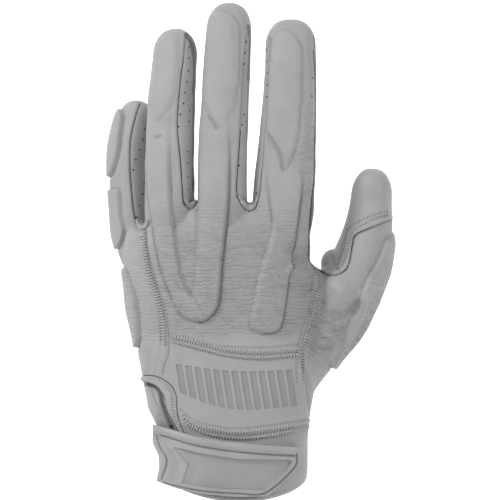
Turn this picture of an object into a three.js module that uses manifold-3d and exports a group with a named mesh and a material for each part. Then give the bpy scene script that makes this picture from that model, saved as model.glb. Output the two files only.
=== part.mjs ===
// Padded football glove for the left hand, open at the cuff and hollow to the fingertips.
// Millimetres. +Z runs from the cuff to the fingertips, -Y is the back of the hand, +X the thumb side.
// The origin is the middle of the cuff mouth, where the wrist goes in.
// The leather is cut as a real glove is: back, ulnar, thumb, wrist and palm panels, three fourchettes
// between the fingers, foam pads on the back, and a cuff with a slit, a strap and a moulded tab.
import * as THREE from "three";
import { mergeVertices } from "three/addons/utils/BufferGeometryUtils.js";
import Module from "manifold-3d";

const wasm = await Module();
wasm.setup();

// Driving dimensions
const LEATHER = 1.6; // leather with its lining
const GAP = 0.3; // between neighbouring pieces
const FAR = 90; // past every surface of the glove
const PAD_HEIGHT = 2.4;
const STRAP_THICK = 1.8;
const TAB_THICK = 2.8;
const TAB_RECESS = 0.9;
const BINDING_HALF = 1.9;
const BINDING_HEIGHT = 1.3;
const CUFF_SAG = 9.5; // how much lower the cuff's edge lies at its middle than at its sides
const CUFF_HALF_WIDTH = 35;
const CUFF_LOWEST_X = 2.5;
const PALM_SEAM_Y = 3.5; // side seam of the hand, behind the middle
const THUMB_SEAM_Y = 11; // side seam of the thumb
const CUFF_TOP = 37.5; // where the cuff meets the palm
const OUTER_MESH = { sides: 14, straight: 7, domed: 4 };
const INNER_MESH = { sides: 10, straight: 5, domed: 2 };
const OUTER_HAND_SIDES = 28;
const INNER_HAND_SIDES = 20;
const WEB_SIDES = 14;
const SQUARENESS = 2.5; // exponent of the rounded-rectangle sections

// Heights of a finger's side seams above its middle line, at its root and at its tip. A fourchette has
// a seam above and one as far below. An edge without one has a single seam.
const FOURCHETTE_SEAM = { fourchette: true, root: 5.6, tip: -0.2 };
const LITTLE_FOURCHETTE_SEAM = { fourchette: true, root: 5, tip: -0.2 };
const EDGE_SEAM = { fourchette: false, root: -3, tip: 0 };
const LITTLE_EDGE_SEAM = { fourchette: false, root: 0, tip: 0 };

// Fingers and thumb: stations along the middle line, as x, y, z, width, depth.
// roll turns the nail side towards the little finger, and seams names the seam on each side.
const DIGITS = {
  index: {
    roll: 3,
    tipRound: 12,
    seams: { thumb: EDGE_SEAM, little: FOURCHETTE_SEAM },
    stations: [
      [19.5, 0, 104, 19, 13],
      [21.8, -1.8, 127, 27.6, 21],
      [22.6, -1.8, 144, 28.2, 20.6],
      [23.8, -1.5, 160, 26.8, 20],
      [25.3, 1, 188, 24.4, 19],
      [25.6, 4.5, 208, 23.4, 18],
      [25.5, 7, 221, 22, 17],
    ],
  },
  middle: {
    roll: 14,
    tipRound: 12,
    seams: { thumb: FOURCHETTE_SEAM, little: FOURCHETTE_SEAM },
    stations: [
      [-6, -2, 104, 17, 13],
      [-5.9, -4.2, 127, 22, 20.5],
      [-5.7, -4.2, 144, 22.2, 20],
      [-5.6, -4, 160, 22.2, 19.5],
      [-4.4, -1.5, 186, 21.6, 18.5],
      [-3.2, 2.5, 210, 21, 18],
      [-2, 6, 228.4, 20, 17],
    ],
  },
  ring: {
    roll: 28,
    tipRound: 12,
    seams: { thumb: FOURCHETTE_SEAM, little: FOURCHETTE_SEAM },
    stations: [
      [-28.5, 1, 102, 16, 13],
      [-30, -1.4, 125, 21.4, 20],
      [-30, -1.4, 142, 22.2, 19.8],
      [-30, 0, 158, 22, 19.5],
      [-29.2, 3, 184, 21.4, 18.5],
      [-27.8, 7.5, 204, 20.2, 17.5],
      [-27, 10.5, 216.8, 19, 16.5],
    ],
  },
  little: {
    roll: 46,
    tipRound: 10.5,
    seams: { thumb: LITTLE_FOURCHETTE_SEAM, little: LITTLE_EDGE_SEAM },
    stations: [
      [-41, 8, 96, 12, 11],
      [-46.4, 11, 119, 16.6, 17],
      [-47.6, 11.6, 130, 17, 17.6],
      [-48.4, 12.8, 142, 17.4, 18],
      [-48.6, 15, 158, 17.8, 18],
      [-46.8, 18.4, 171, 17.8, 17],
      [-43.8, 22, 183.6, 17, 16],
    ],
  },
  thumb: {
    roll: -55,
    tipRound: 11,
    stations: [
      [20, 5, 42, 19, 19],
      [30, 7, 62, 27, 28],
      [46.3, 9, 86, 28, 28],
      [56.2, 10, 106, 25.5, 25],
      [60.6, 10.5, 122, 22.6, 22],
      [62, 10, 138, 18.8, 19.4],
      [63.6, 9, 152.4, 17.4, 17.4],
    ],
  },
};
const FINGERS = ["index", "middle", "ring", "little"];

// The hand from the cuff to the webs: z, left, right, back, palm, arch and rise of each section.
// arch bends the sides towards the palm, rise tips the section up on the thumb side.
const HAND = [
  [0, -32.8, 32, -22.5, 22.5, 0, 0],
  [14, -32.8, 32.5, -22.5, 22.5, 0, 0],
  [28, -33.6, 33, -22, 22, 0, 0],
  [42, -38.2, 35, -21, 21.5, 0.5, 0],
  [57, -42.8, 38, -19.5, 22, 1, 0],
  [73, -45.5, 37, -18.6, 22.5, 2, 1],
  [90, -48.8, 35.5, -18, 22.5, 3, 2],
  [106, -50.6, 34.8, -17.2, 20.5, 4.5, 3],
  [117, -51.4, 34.6, -15.8, 17, 5, 4],
  [125, -51, 34, -13.4, 13, 5, 5],
  [130.5, -48.5, 32.6, -9.5, 8, 5, 5],
];
// Thumb web, across the hand: x, y, z, half height, half depth.
const WEB = [
  [24, 5, 84, 16, 12],
  [33, 6, 86, 17.5, 11],
  [41, 7.5, 88, 16, 10],
  [50, 9, 90, 15, 11],
];

// Seams on the back, seen from the front, as x, z
const ULNAR_SEAM = [
  [-40, 136], [-40.6, 126], [-39.6, 117], [-36.8, 101], [-32.8, 86.5],
  [-30.2, 76], [-30.4, 66], [-33, 57], [-36, 50],
];
const BACK_SEAM = [
  [-36, 77], [-30.3, 76], [-22.5, 74.6], [-13.8, 72], [0, 69.3],
  [16, 69], [31, 71.2], [40, 73],
];
const THUMB_SEAM = [
  [36, 112], [35.4, 107.2], [37, 103], [36.3, 92], [34.4, 80],
  [31.6, 71], [32.2, 57], [33.5, 46], [34.6, 34],
];
const WRIST_SEAM = [
  [-34, 46], [-28, 42.2], [-17.5, 35], [-2.3, 31.2], [17, 31.2],
  [33, 36], [38, 37.5], [60, 37.5],
];
const SLIT = [
  [-60, 56.6], [-43, 55.6], [-38.4, 54.4], [-34.4, 51], [-31.8, 45],
  [-29.6, 36], [-27.4, 24], [-26, 10], [-25.4, -6],
];
const SLIT_WIDTH = 1.8;
const WRAP_EDGE = [
  [41, 118], [41.6, 106], [45, 102.6], [50.6, 104.7], [53.6, 113],
  [55, 121.7], [71.3, 128], [90, 135],
];
const WEB_LINE_Z = 104;
const FOLDED_WEB = { radii: [5.4, 6.5, 7.4], lean: -0.35, centre: [45.6, 11.5, 110.5] };

// Foam pads on the back. On a digit: z, offset across from its middle line, half width.
const DIGIT_PADS = {
  pad_index_tip: [
    "index",
    [[212.5, -2.6, 6.4], [198, -3, 7.6], [178, -2.4, 7.4], [166, -2, 6.4], [158, -1.6, 4.8]],
  ],
  pad_middle_tip: ["middle", [[221.5, 0, 6.8], [206, 0, 7.4], [188, -0.4, 7.4], [172, -1, 6.4]]],
  pad_ring_tip: ["ring", [[211, 0, 6], [196, 0, 6.6], [184, 0, 6.6], [173, -0.4, 5.2]]],
  pad_little_tip: ["little", [[178.5, 0, 5.2], [168, 0, 6.2], [158, 0, 6], [149.5, -0.6, 4.4]]],
  pad_little_knuckle: ["little", [[142, 0, 5.2], [130, 0, 5.8], [117, 0, 5]]],
  pad_thumb: ["thumb", [[121, 0, 6.6], [106, 0, 8], [86, 0, 8], [66, 1, 7]]],
};
// On the hand: the parts they lie on, the azimuth they are seen from, then branches of across, z, half
// width that are joined into one solid.
const HAND_PADS = {
  pad_ring_middle: [
    ["hand", "ring", "middle"],
    0,
    [
      [-9.4, 168.5, 5.6], [-8.7, 140, 6.3], [-10, 122, 6.4],
      [-11.4, 106, 6.4], [-12.6, 96, 6.8], [-13.8, 82.5, 7.6],
    ],
    [
      [-35.2, 169, 4.4], [-34.6, 138, 4.8], [-32.4, 120, 5],
      [-29.6, 104, 5.4], [-25.4, 93, 6], [-18, 84, 6.4],
    ],
  ],
  pad_index_hand: [
    ["hand", "index"],
    0,
    [
      [19.6, 154, 5.2], [22, 140, 6.8], [22.8, 122, 7],
      [19.8, 108, 7], [16.6, 96, 7.2], [14.4, 77.5, 7.2],
    ],
  ],
  pad_ulnar: [["hand"], -62, [[-22.4, 105.5, 5.6], [-21.6, 90, 6.4], [-19.6, 70.5, 5.6]]],
};
const BINDING = [[-44, 58.4], [-38, 57.6], [-33, 54.6], [-29.4, 49], [-27.2, 41], [-25.2, 33.6]];

// Wrist strap and tab, seen from the front, as x, z
const TAB_OUTLINE = [
  [-37.9, 34.8], [-20, 31], [-2.3, 28], [29.4, 25.4], [29, 17.4],
  [14.7, 2.6], [-4.6, 3.9], [-35.9, 8.6], [-32.2, 17.8], [-39, 26.6],
];
const TAB_FIELD = [
  [-22.5, 26], [-3, 22.2], [24.8, 20.8], [24.4, 17.6], [12.6, 6.2],
  [-4, 7.4], [-19.4, 9], [-15, 17.6],
];
const STRAP_FRONT = [
  [-60, 33], [-20, 29], [-2.3, 26.2], [27, 23.6], [26.5, 16.6],
  [13.5, 5], [-4.6, 6], [-60, 10.4],
];
const STRAP_BACK = [[-60, 33], [-4, 31.5], [0, 27], [0, 15.5], [-4, 11], [-60, 10.4]];

// Zones that share out the shell, seen from the front. They reach past its sides.
const BELOW_CUFF = -20;
const TONGUE_TOP = 56;
const WRAP_ZONE_TOP = [[FAR, 170], [41, 170]];
const HAND_RIGHT = 37;
const HAND_TOP = [[HAND_RIGHT, 124], [30, 127], [-34, 121], [-FAR, 118]];
const PALM_SIDE_TOP = 160;
const THUMB_ZONE = [[8, -FAR], [FAR, -FAR], [FAR, 140], [40, 140], [40, WEB_LINE_Z], [8, WEB_LINE_Z]];
// Blocks between the finger roots, where the panels reach up to the webs: the fourchettes start between
// the back ones and the palm ones. Each is x from, x to, the back panel's y, the palm's y.
const WEB_BLOCKS = [
  [-34, 37, -7, 8],
  [-FAR, -34, -2, 13],
];
const WEB_BLOCK_HEIGHTS = [116, 140];

const column = (rows, n) => rows.map((row) => row[n]);
const lerp = THREE.MathUtils.lerp;

// Value of a table column at a share t of its rows.
function along(values, t) {
  const place = THREE.MathUtils.clamp(t, 0, 1) * (values.length - 1);
  const i = Math.min(Math.floor(place), values.length - 2);
  return lerp(values[i], values[i + 1], place - i);
}

// A closed mesh as a solid, with its faces turned outwards.
function toSolid(geometry) {
  const bare = new THREE.BufferGeometry().setAttribute("position", geometry.getAttribute("position"));
  if (geometry.index) bare.setIndex(geometry.index);
  const merged = mergeVertices(bare, 1e-4);
  const p = merged.attributes.position;
  const triVerts = new Uint32Array(merged.index.array);
  const [a, b, c] = [new THREE.Vector3(), new THREE.Vector3(), new THREE.Vector3()];
  let volume = 0;
  for (let i = 0; i < triVerts.length; i += 3) {
    a.fromBufferAttribute(p, triVerts[i]);
    b.fromBufferAttribute(p, triVerts[i + 1]);
    c.fromBufferAttribute(p, triVerts[i + 2]);
    volume += a.dot(b.cross(c));
  }
  if (volume < 0) triVerts.reverse();
  return new wasm.Manifold(new wasm.Mesh({ numProp: 3, vertProperties: p.array, triVerts }));
}

// Rings of equal length joined into a closed skin, with a fan at each end.
function loft(rings) {
  const points = rings.flat();
  const sides = rings[0].length;
  const middle = (ring) => ring.reduce((sum, p) => sum.add(p), new THREE.Vector3()).divideScalar(sides);
  points.push(middle(rings[0]), middle(rings.at(-1)));
  const faces = [];
  rings.forEach((ring, i) => {
    for (let j = 0; j < sides; j++) {
      const next = (j + 1) % sides;
      const here = i * sides;
      if (i === 0) faces.push(points.length - 2, next, j);
      if (i === rings.length - 1) faces.push(points.length - 1, here + j, here + next);
      else {
        faces.push(here + j, here + next, here + sides + j);
        faces.push(here + next, here + sides + next, here + sides + j);
      }
    }
  });
  return toSolid(new THREE.BufferGeometry().setFromPoints(points).setIndex(faces));
}

const union = (solids) => solids.reduce((sum, solid) => sum.add(solid));
const subtractAll = (solid, cutters) => cutters.reduce((rest, cutter) => rest.subtract(cutter), solid);

// Smooth line through x, z points.
function smooth(points, steps) {
  const curve = new THREE.SplineCurve(points.map(([x, z]) => new THREE.Vector2(x, z)));
  return curve.getPoints(steps).map((p) => [p.x, p.y]);
}

// A front-view outline given depth from y0 to y1.
function prism(points, y0 = -FAR, y1 = FAR) {
  const shape = new THREE.Shape(points.map(([x, z]) => new THREE.Vector2(x, z)));
  const geometry = new THREE.ExtrudeGeometry(shape, { depth: y1 - y0, bevelEnabled: false });
  return toSolid(geometry.rotateX(Math.PI / 2).translate(0, y1, 0));
}

// A front-view line given a width, and depth from y0 to y1: the knife that parts two panels.
function knife(points, y0 = -FAR, y1 = FAR, width = GAP, steps = 24) {
  const line = smooth(points, steps).map(([x, z]) => new THREE.Vector2(x, z));
  const side = (sign) =>
    line.map((p, i) => {
      const ahead = line[Math.min(i + 1, line.length - 1)];
      const way = ahead.clone().sub(line[Math.max(i - 1, 0)]).normalize();
      return [p.x - (sign * way.y * width) / 2, p.y + (sign * way.x * width) / 2];
    });
  return prism([...side(1), ...side(-1).reverse()], y0, y1);
}

// A digit's middle line with the frame and the section size at each share u of its length.
function digitLine(digit) {
  const rows = digit.stations;
  const curve = new THREE.CatmullRomCurve3(rows.map(([x, y, z]) => new THREE.Vector3(x, y, z)));
  const roll = THREE.MathUtils.degToRad(digit.roll);
  const nail = new THREE.Vector3(-Math.sin(roll), -Math.cos(roll), 0);
  return {
    length: curve.getLength(),
    at(u) {
      const share = THREE.MathUtils.clamp(u, 0, 1);
      const t = curve.getUtoTmapping(share);
      const forward = curve.getTangent(t);
      const up = nail.clone().addScaledVector(forward, -nail.dot(forward)).normalize();
      const side = forward.clone().cross(up);
      const point = curve.getPoint(t).addScaledVector(forward, (u - share) * curve.getLength());
      const halfWidth = along(column(rows, 3), t) / 2;
      const halfDepth = along(column(rows, 4), t) / 2;
      return { point, up, side, halfWidth, halfDepth };
    },
  };
}

// Rounded-rectangle section: side and up shares at an angle.
function sectionPoint(angle) {
  const power = 2 / SQUARENESS;
  const curve = (v) => Math.sign(v) * Math.abs(v) ** power;
  return [curve(Math.cos(angle)), curve(Math.sin(angle))];
}

// Rings of a finger or thumb, with a round tip. inset shrinks it; a negative inset makes it grow.
function digitRings(digit, inset) {
  const line = digitLine(digit);
  const { sides, straight, domed } = inset > 0 ? INNER_MESH : OUTER_MESH;
  const dome = digit.tipRound - inset;
  const domeStart = line.length - digit.tipRound;
  const rings = [];
  const add = (distance, scale) => {
    const f = line.at(distance / line.length);
    rings.push(
      Array.from({ length: sides }, (_, j) => {
        const [side, up] = sectionPoint((j / sides) * 2 * Math.PI);
        return f.point
          .clone()
          .addScaledVector(f.side, side * (f.halfWidth - inset) * scale)
          .addScaledVector(f.up, up * (f.halfDepth - inset) * scale);
      }),
    );
  };
  for (let i = 0; i <= straight; i++) add((domeStart * i) / straight, 1);
  for (let i = 1; i <= domed; i++) {
    const turn = (i / (domed + 0.3)) * (Math.PI / 2);
    add(domeStart + dome * Math.sin(turn), Math.cos(turn) ** 0.8);
  }
  return rings;
}

// Rings of the hand. extend lengthens it below the cuff, so that an inset copy opens the cuff.
function handRings(inset, extend = 0) {
  const top = HAND.length - 1;
  const sides = inset > 0 ? INNER_HAND_SIDES : OUTER_HAND_SIDES;
  return HAND.map(([z, left, right, back, palm, arch, rise], i) => {
    const middleX = (left + right) / 2;
    const middleY = (back + palm) / 2;
    const halfWidth = (right - left) / 2 - inset;
    const halfDepth = (palm - back) / 2 - inset;
    const height = z - (i === 0 ? extend : 0) - (i >= top - 1 ? inset : 0);
    return Array.from({ length: sides }, (_, j) => {
      const [side, up] = sectionPoint((j / sides) * 2 * Math.PI);
      const y = middleY - up * halfDepth + arch * (side * side - 0.4);
      return new THREE.Vector3(middleX + side * halfWidth, y, height + rise * side);
    });
  });
}

function webRings(inset) {
  return WEB.map(([x, y, z, halfHeight, halfDepth]) =>
    Array.from({ length: WEB_SIDES }, (_, j) => {
      const angle = (j / WEB_SIDES) * 2 * Math.PI;
      const up = (halfHeight - inset) * Math.sin(angle);
      return new THREE.Vector3(x, y + (halfDepth - inset) * Math.cos(angle), z + up);
    }),
  );
}

// The whole glove's form, shrunk by inset, as one solid.
function gloveForm(inset, extend) {
  const digits = Object.values(DIGITS).map((digit) => loft(digitRings(digit, inset)));
  return union([loft(handRings(inset, extend)), loft(webRings(inset)), ...digits]);
}

// Outer skin by part, read at a place seen from an azimuth: the nearest point to the viewer.
const SKIN = { hand: handRings(0), web: webRings(0) };
for (const [name, digit] of Object.entries(DIGITS)) SKIN[name] = digitRings(digit, 0);

function sliceAt(rings, z) {
  const found = [];
  for (let j = 0; j < rings[0].length; j++) {
    for (let i = 0; i < rings.length - 1; i++) {
      const [a, b] = [rings[i][j], rings[i + 1][j]];
      if ((a.z - z) * (b.z - z) > 0 || a.z === b.z) continue;
      found.push(a.clone().lerp(b, (z - a.z) / (b.z - a.z)));
      break;
    }
  }
  return found;
}

// A reader of the skin of some parts, seen from an azimuth. Places past the side are drawn in to it.
function skinReader(parts, azimuth) {
  const turn = THREE.MathUtils.degToRad(azimuth);
  const right = new THREE.Vector3(Math.cos(turn), Math.sin(turn), 0);
  const towards = new THREE.Vector3(Math.sin(turn), -Math.cos(turn), 0);
  const edge = 0.05;
  const pointAt = (wanted, z) => {
    const slices = parts.map((part) => sliceAt(SKIN[part], z)).filter((slice) => slice.length > 2);
    const reach = slices.flat().map((p) => p.dot(right));
    const across = THREE.MathUtils.clamp(wanted, Math.min(...reach) + edge, Math.max(...reach) - edge);
    let depth = -FAR;
    for (const slice of slices) {
      slice.forEach((a, j) => {
        const b = slice[(j + 1) % slice.length];
        const [s, e] = [a.dot(right), b.dot(right)];
        if ((s - across) * (e - across) > 0 || s === e) return;
        depth = Math.max(depth, lerp(a.dot(towards), b.dot(towards), (across - s) / (e - s)));
      });
    }
    if (depth === -FAR) throw new Error(`no skin at ${wanted}, ${z} from ${azimuth}`);
    return right.clone().multiplyScalar(across).addScaledVector(towards, depth).setZ(z);
  };
  const normalAt = (across, z) => {
    const step = 0.8;
    const sideways = pointAt(across + step, z).sub(pointAt(across - step, z));
    const upwards = pointAt(across, z + step).sub(pointAt(across, z - step));
    const normal = sideways.cross(upwards);
    return normal.lengthSq() > 0 ? normal.normalize() : towards.clone();
  };
  return { pointAt, normalAt };
}

// A raised bar lying on the skin along a route of across, z, half width, with round ends.
function bar(parts, azimuth, route, height) {
  const skin = skinReader(parts, azimuth);
  const below = 1.2; // sunk into the skin, and cut off there
  const curve = new THREE.CatmullRomCurve3(route.map((row) => new THREE.Vector3(...row)));
  const flat = new THREE.CatmullRomCurve3(route.map(([x, z]) => new THREE.Vector3(x, z, 0)));
  const length = flat.getLength();
  const steps = Math.max(7, Math.round(length / 9) + 4);
  const lanes = 6;
  const rings = [];
  for (let i = 0; i <= steps; i++) {
    const eased = (1 - Math.cos((i / steps) * Math.PI)) / 2;
    const t = lerp(i / steps, eased, 0.5);
    const here = curve.getPoint(t);
    const way = curve.getTangent(t).setZ(0).normalize();
    const fromEnd = Math.min(1, (Math.min(t, 1 - t) * length) / here.z);
    const end = Math.max(Math.sqrt(1 - (1 - fromEnd) ** 2), 0.12);
    const top = [];
    const bottom = [];
    for (let lane = 0; lane <= lanes; lane++) {
      const v = (lane / lanes) * 2 - 1;
      const across = here.x + way.y * v * here.z * end;
      const z = here.y - way.x * v * here.z * end;
      const point = skin.pointAt(across, z);
      const normal = skin.normalAt(across, z);
      const crown = height * (1 - Math.abs(v) ** 3.2) ** 0.55 * Math.min(1, end * 1.4);
      top.push(point.clone().addScaledVector(normal, GAP + crown + 0.15));
      bottom.unshift(point.clone().addScaledVector(normal, -below));
    }
    rings.push([...top, ...bottom]);
  }
  return loft(rings);
}

// Region of a finger above (sign 1) or below (sign -1) its seams, grown by grow.
function fingerRegion(digit, sign, grow) {
  const line = digitLine(digit);
  const margin = 1.4;
  const topShare = 0.74; // narrower where the finger is round, so that it clears the next finger
  const rings = [];
  const steps = 10;
  for (let i = 0; i <= steps; i++) {
    const share = i / steps;
    const u = lerp(0.12 - grow / line.length, 1.06, share);
    const f = line.at(u);
    // The fourchette narrows over the last third of the finger.
    const taper = THREE.MathUtils.smoothstep(share, 0.45, 0.97);
    const height = ({ fourchette, root, tip }) =>
      fourchette ? sign * lerp(root, tip, taper) : lerp(root, tip, share) - (sign * GAP) / 2;
    const right = height(digit.seams.thumb) - sign * (grow - GAP / 2);
    const left = height(digit.seams.little) - sign * (grow - GAP / 2);
    const reach = f.halfWidth + margin + grow;
    const corner = (across, up) =>
      f.point.clone().addScaledVector(f.side, across).addScaledVector(f.up, up);
    rings.push([
      corner(-reach, left),
      corner(-0.4, left),
      corner(0.4, right),
      corner(reach, right),
      corner(reach * topShare, sign * (f.halfDepth + margin)),
      corner(-reach * topShare, sign * (f.halfDepth + margin)),
    ]);
  }
  return loft(rings);
}

function webBlocks(sign, grow) {
  const [low, high] = WEB_BLOCK_HEIGHTS;
  return WEB_BLOCKS.map(([x0, x1, backY, palmY]) => {
    const move = grow - GAP / 2;
    const outline = [[x0 - move, low], [x1 + move, low], [x1 + move, high], [x0 - move, high]];
    return sign > 0 ? prism(outline, -FAR, backY + move) : prism(outline, palmY - move, FAR);
  });
}

// The back half: the fingers above their seams, the hand's back and the thumb's back.
function backRegion(grow) {
  const move = grow - GAP / 2;
  const fingers = FINGERS.map((name) => fingerRegion(DIGITS[name], 1, grow));
  const handTop = HAND_TOP.map(([x, z]) => [x + (x > 0 ? move : 0), z + move]);
  const hand = prism([[-FAR, -FAR], [HAND_RIGHT + move, -FAR], ...handTop], -FAR, PALM_SEAM_Y + move);
  const thumb = prism(THUMB_ZONE, -FAR, THUMB_SEAM_Y + move);
  return union([hand, thumb, ...webBlocks(1, grow), ...fingers]);
}

// The palm half: the fingers below their seams, the palm and the thumb's front.
function palmRegion(grow) {
  const move = grow - GAP / 2;
  const fingers = FINGERS.map((name) => fingerRegion(DIGITS[name], -1, grow));
  const handTop = HAND_TOP.map(([x, z]) => [x - (x > 0 ? move : 0), z + move]);
  const side = [[FAR, PALM_SIDE_TOP], [HAND_RIGHT - move, PALM_SIDE_TOP]];
  const hand = prism([[-FAR, -FAR], [FAR, -FAR], ...side, ...handTop], PALM_SEAM_Y - move, FAR);
  return union([hand, ...webBlocks(-1, grow), ...fingers]);
}

// The loose pieces of a cut solid, without crumbs.
const CRUMB = 25; // mm3
const pieces = (solid) => solid.decompose().filter((piece) => piece.volume() > CRUMB);

// The piece with a corner nearest to a place.
function nearest(candidates, place) {
  const target = new THREE.Vector3(...place);
  const distance = (piece) => {
    const { vertProperties, numProp, numVert } = piece.getMesh();
    let best = Infinity;
    for (let i = 0; i < numVert; i++) {
      const p = new THREE.Vector3(...vertProperties.subarray(i * numProp, i * numProp + 3));
      best = Math.min(best, p.distanceToSquared(target));
    }
    return best;
  };
  return candidates.map((piece) => [distance(piece), piece]).sort((a, b) => a[0] - b[0])[0][1];
}

const glove = new THREE.Group();
glove.name = "football_glove";

const matt = (color, roughness) => new THREE.MeshStandardMaterial({ color, roughness });
const LEATHER_GREY = matt(0xa6a6a6, 0.62);
const PALM_GREY = matt(0x989898, 0.5);
const PANEL_GREY = matt(0xacacac, 0.55);
const ELASTIC_GREY = matt(0x9c9c9c, 0.8);
const MOULDED_GREY = matt(0xa2a2a2, 0.45);

function addPiece(name, solid, material) {
  const body = solid.decompose().sort((a, b) => b.volume() - a.volume())[0];
  const { vertProperties, triVerts, numProp } = body.getMesh();
  const geometry = new THREE.BufferGeometry();
  const positions = new THREE.InterleavedBuffer(vertProperties, numProp);
  geometry.setAttribute("position", new THREE.InterleavedBufferAttribute(positions, 3, 0));
  geometry.setIndex(new THREE.BufferAttribute(triVerts, 1));
  const plain = geometry.toNonIndexed();
  plain.computeVertexNormals();
  const mesh = new THREE.Mesh(plain, material);
  mesh.name = name;
  glove.add(mesh);
}

// The leather shell: the outer form, hollowed, with the cuff's edge trimmed to a curve.
const outer = gloveForm(0, 0);
const hollow = gloveForm(LEATHER, 8);
const cuffEdge = (x) => CUFF_SAG * ((x - CUFF_LOWEST_X) / CUFF_HALF_WIDTH) ** 2;
const EDGE_STEPS = 18;
const EDGE_REACH = 45; // past both sides of the cuff
const edgeLine = Array.from({ length: EDGE_STEPS + 1 }, (_, i) => {
  const x = lerp(-EDGE_REACH, EDGE_REACH, i / EDGE_STEPS);
  return [x, cuffEdge(x)];
});
const belowCuff = prism([...edgeLine, [EDGE_REACH, BELOW_CUFF], [-EDGE_REACH, BELOW_CUFF]]);

// Leather rolled up where the palm is gathered at the thumb's web
function foldedWeb() {
  const bump = new THREE.SphereGeometry(1, 16, 10).scale(...FOLDED_WEB.radii);
  return toSolid(bump.rotateY(FOLDED_WEB.lean).translate(...FOLDED_WEB.centre));
}
const shell = outer.add(foldedWeb()).subtract(hollow).subtract(belowCuff);

// Wrist: the cuff below its seam, parted by the slit from the tongue beside it.
const wristLine = smooth(WRIST_SEAM, 20);
const wristLeft = wristLine[0][0];
// Below the wrist's seam in front, and straight across behind
function cuffFront(move, y) {
  const top = wristLine.map(([x, z]) => [x, z + move]);
  return prism([...top, [FAR, CUFF_TOP + move], [FAR, BELOW_CUFF], [wristLeft, BELOW_CUFF]], -FAR, y);
}
function cuffBehind(move) {
  const top = CUFF_TOP + move;
  return prism([[-FAR, top], [FAR, top], [FAR, BELOW_CUFF], [-FAR, BELOW_CUFF]], PALM_SEAM_Y - 1, FAR);
}
const slitLine = smooth(SLIT, 24);
const tongueOutline = [...slitLine, [-FAR, BELOW_CUFF], [-FAR, TONGUE_TOP]];
const tongueZone = prism(tongueOutline, -FAR, PALM_SEAM_Y);
const slitKnife = knife(SLIT, -FAR, PALM_SEAM_Y, SLIT_WIDTH);
const tongue = shell.intersect(tongueZone).subtract(slitKnife);
const cuffZone = cuffFront(-GAP / 2, PALM_SEAM_Y).add(cuffBehind(-GAP / 2));
const tongueRoom = prism(tongueOutline, -FAR, PALM_SEAM_Y + GAP);
const cuffKnives = [knife(WRIST_SEAM, -FAR, PALM_SEAM_Y), tongueRoom, slitKnife];
addPiece("cuff", subtractAll(shell.intersect(cuffZone), cuffKnives), ELASTIC_GREY);
addPiece("slit_tongue", tongue, ELASTIC_GREY);

// Everything above the wrist seam
const floors = [cuffBehind(GAP / 2), cuffFront(GAP / 2, PALM_SEAM_Y - 0.9)];
const upper = subtractAll(shell, [...floors, tongueRoom, slitKnife]);

// The thumb's tip is wrapped by its own piece, which ends at the web.
const wrapLine = smooth(WRAP_EDGE, 28);
const wrapZone = prism([...wrapLine, ...WRAP_ZONE_TOP]);
const wrapKnife = knife(WRAP_EDGE, -FAR, FAR, GAP, 28);
addPiece("thumb_wrap", upper.intersect(wrapZone).subtract(wrapKnife), PALM_GREY);
const hand = upper.subtract(wrapZone).subtract(wrapKnife);

// Back panels, parted along the seams that show
const backKnives = [
  knife(ULNAR_SEAM, -FAR, PALM_SEAM_Y + 1),
  knife(BACK_SEAM, -FAR, 0),
  knife(THUMB_SEAM, -FAR, THUMB_SEAM_Y + 1),
];
const backPieces = pieces(subtractAll(hand.intersect(backRegion(0)), backKnives));
const backPanels = {
  back_panel: [[0, -18, 100], LEATHER_GREY],
  ulnar_panel: [[-46, -6, 90], LEATHER_GREY],
  thumb_panel: [[50, -2, 90], LEATHER_GREY],
  wrist_panel: [[0, -20, 50], PANEL_GREY],
};
for (const [name, [place, material]] of Object.entries(backPanels)) {
  addPiece(name, nearest(backPieces, place), material);
}

// The palm, and the fourchettes left between the two
const palmSide = hand.intersect(palmRegion(0)).subtract(backRegion(GAP));
addPiece("palm", nearest(pieces(palmSide), [0, 22, 70]), PALM_GREY);
const between = pieces(subtractAll(hand, [backRegion(GAP), palmRegion(GAP)]));
const fourchettes = {
  fourchette_index_middle: [8, 0, 150],
  fourchette_middle_ring: [-18, 0, 150],
  fourchette_ring_little: [-38, 6, 145],
};
for (const [name, place] of Object.entries(fourchettes)) {
  addPiece(name, nearest(between, place), PANEL_GREY);
}

// Foam pads, seated on the leather
const padded = gloveForm(-1.5 * GAP, 0).add(outer);
for (const [name, [digitName, rows]] of Object.entries(DIGIT_PADS)) {
  const digit = DIGITS[digitName];
  const turn = THREE.MathUtils.degToRad(-digit.roll);
  const middle = (z) => {
    const stations = digit.stations;
    const i = stations.findIndex((s, k) => k > 0 && s[2] >= z);
    const [a, b] = [stations[i - 1], stations[i]];
    const share = (z - a[2]) / (b[2] - a[2]);
    return lerp(a[0], b[0], share) * Math.cos(turn) + lerp(a[1], b[1], share) * Math.sin(turn);
  };
  const route = rows.map(([z, offset, half]) => [middle(z) + offset, z, half]);
  addPiece(name, bar([digitName], -digit.roll, route, PAD_HEIGHT).subtract(padded), LEATHER_GREY);
}
for (const [name, [parts, azimuth, ...branches]] of Object.entries(HAND_PADS)) {
  const bars = union(branches.map((route) => bar(parts, azimuth, route, PAD_HEIGHT)));
  addPiece(name, bars.subtract(padded), LEATHER_GREY);
}

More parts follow.
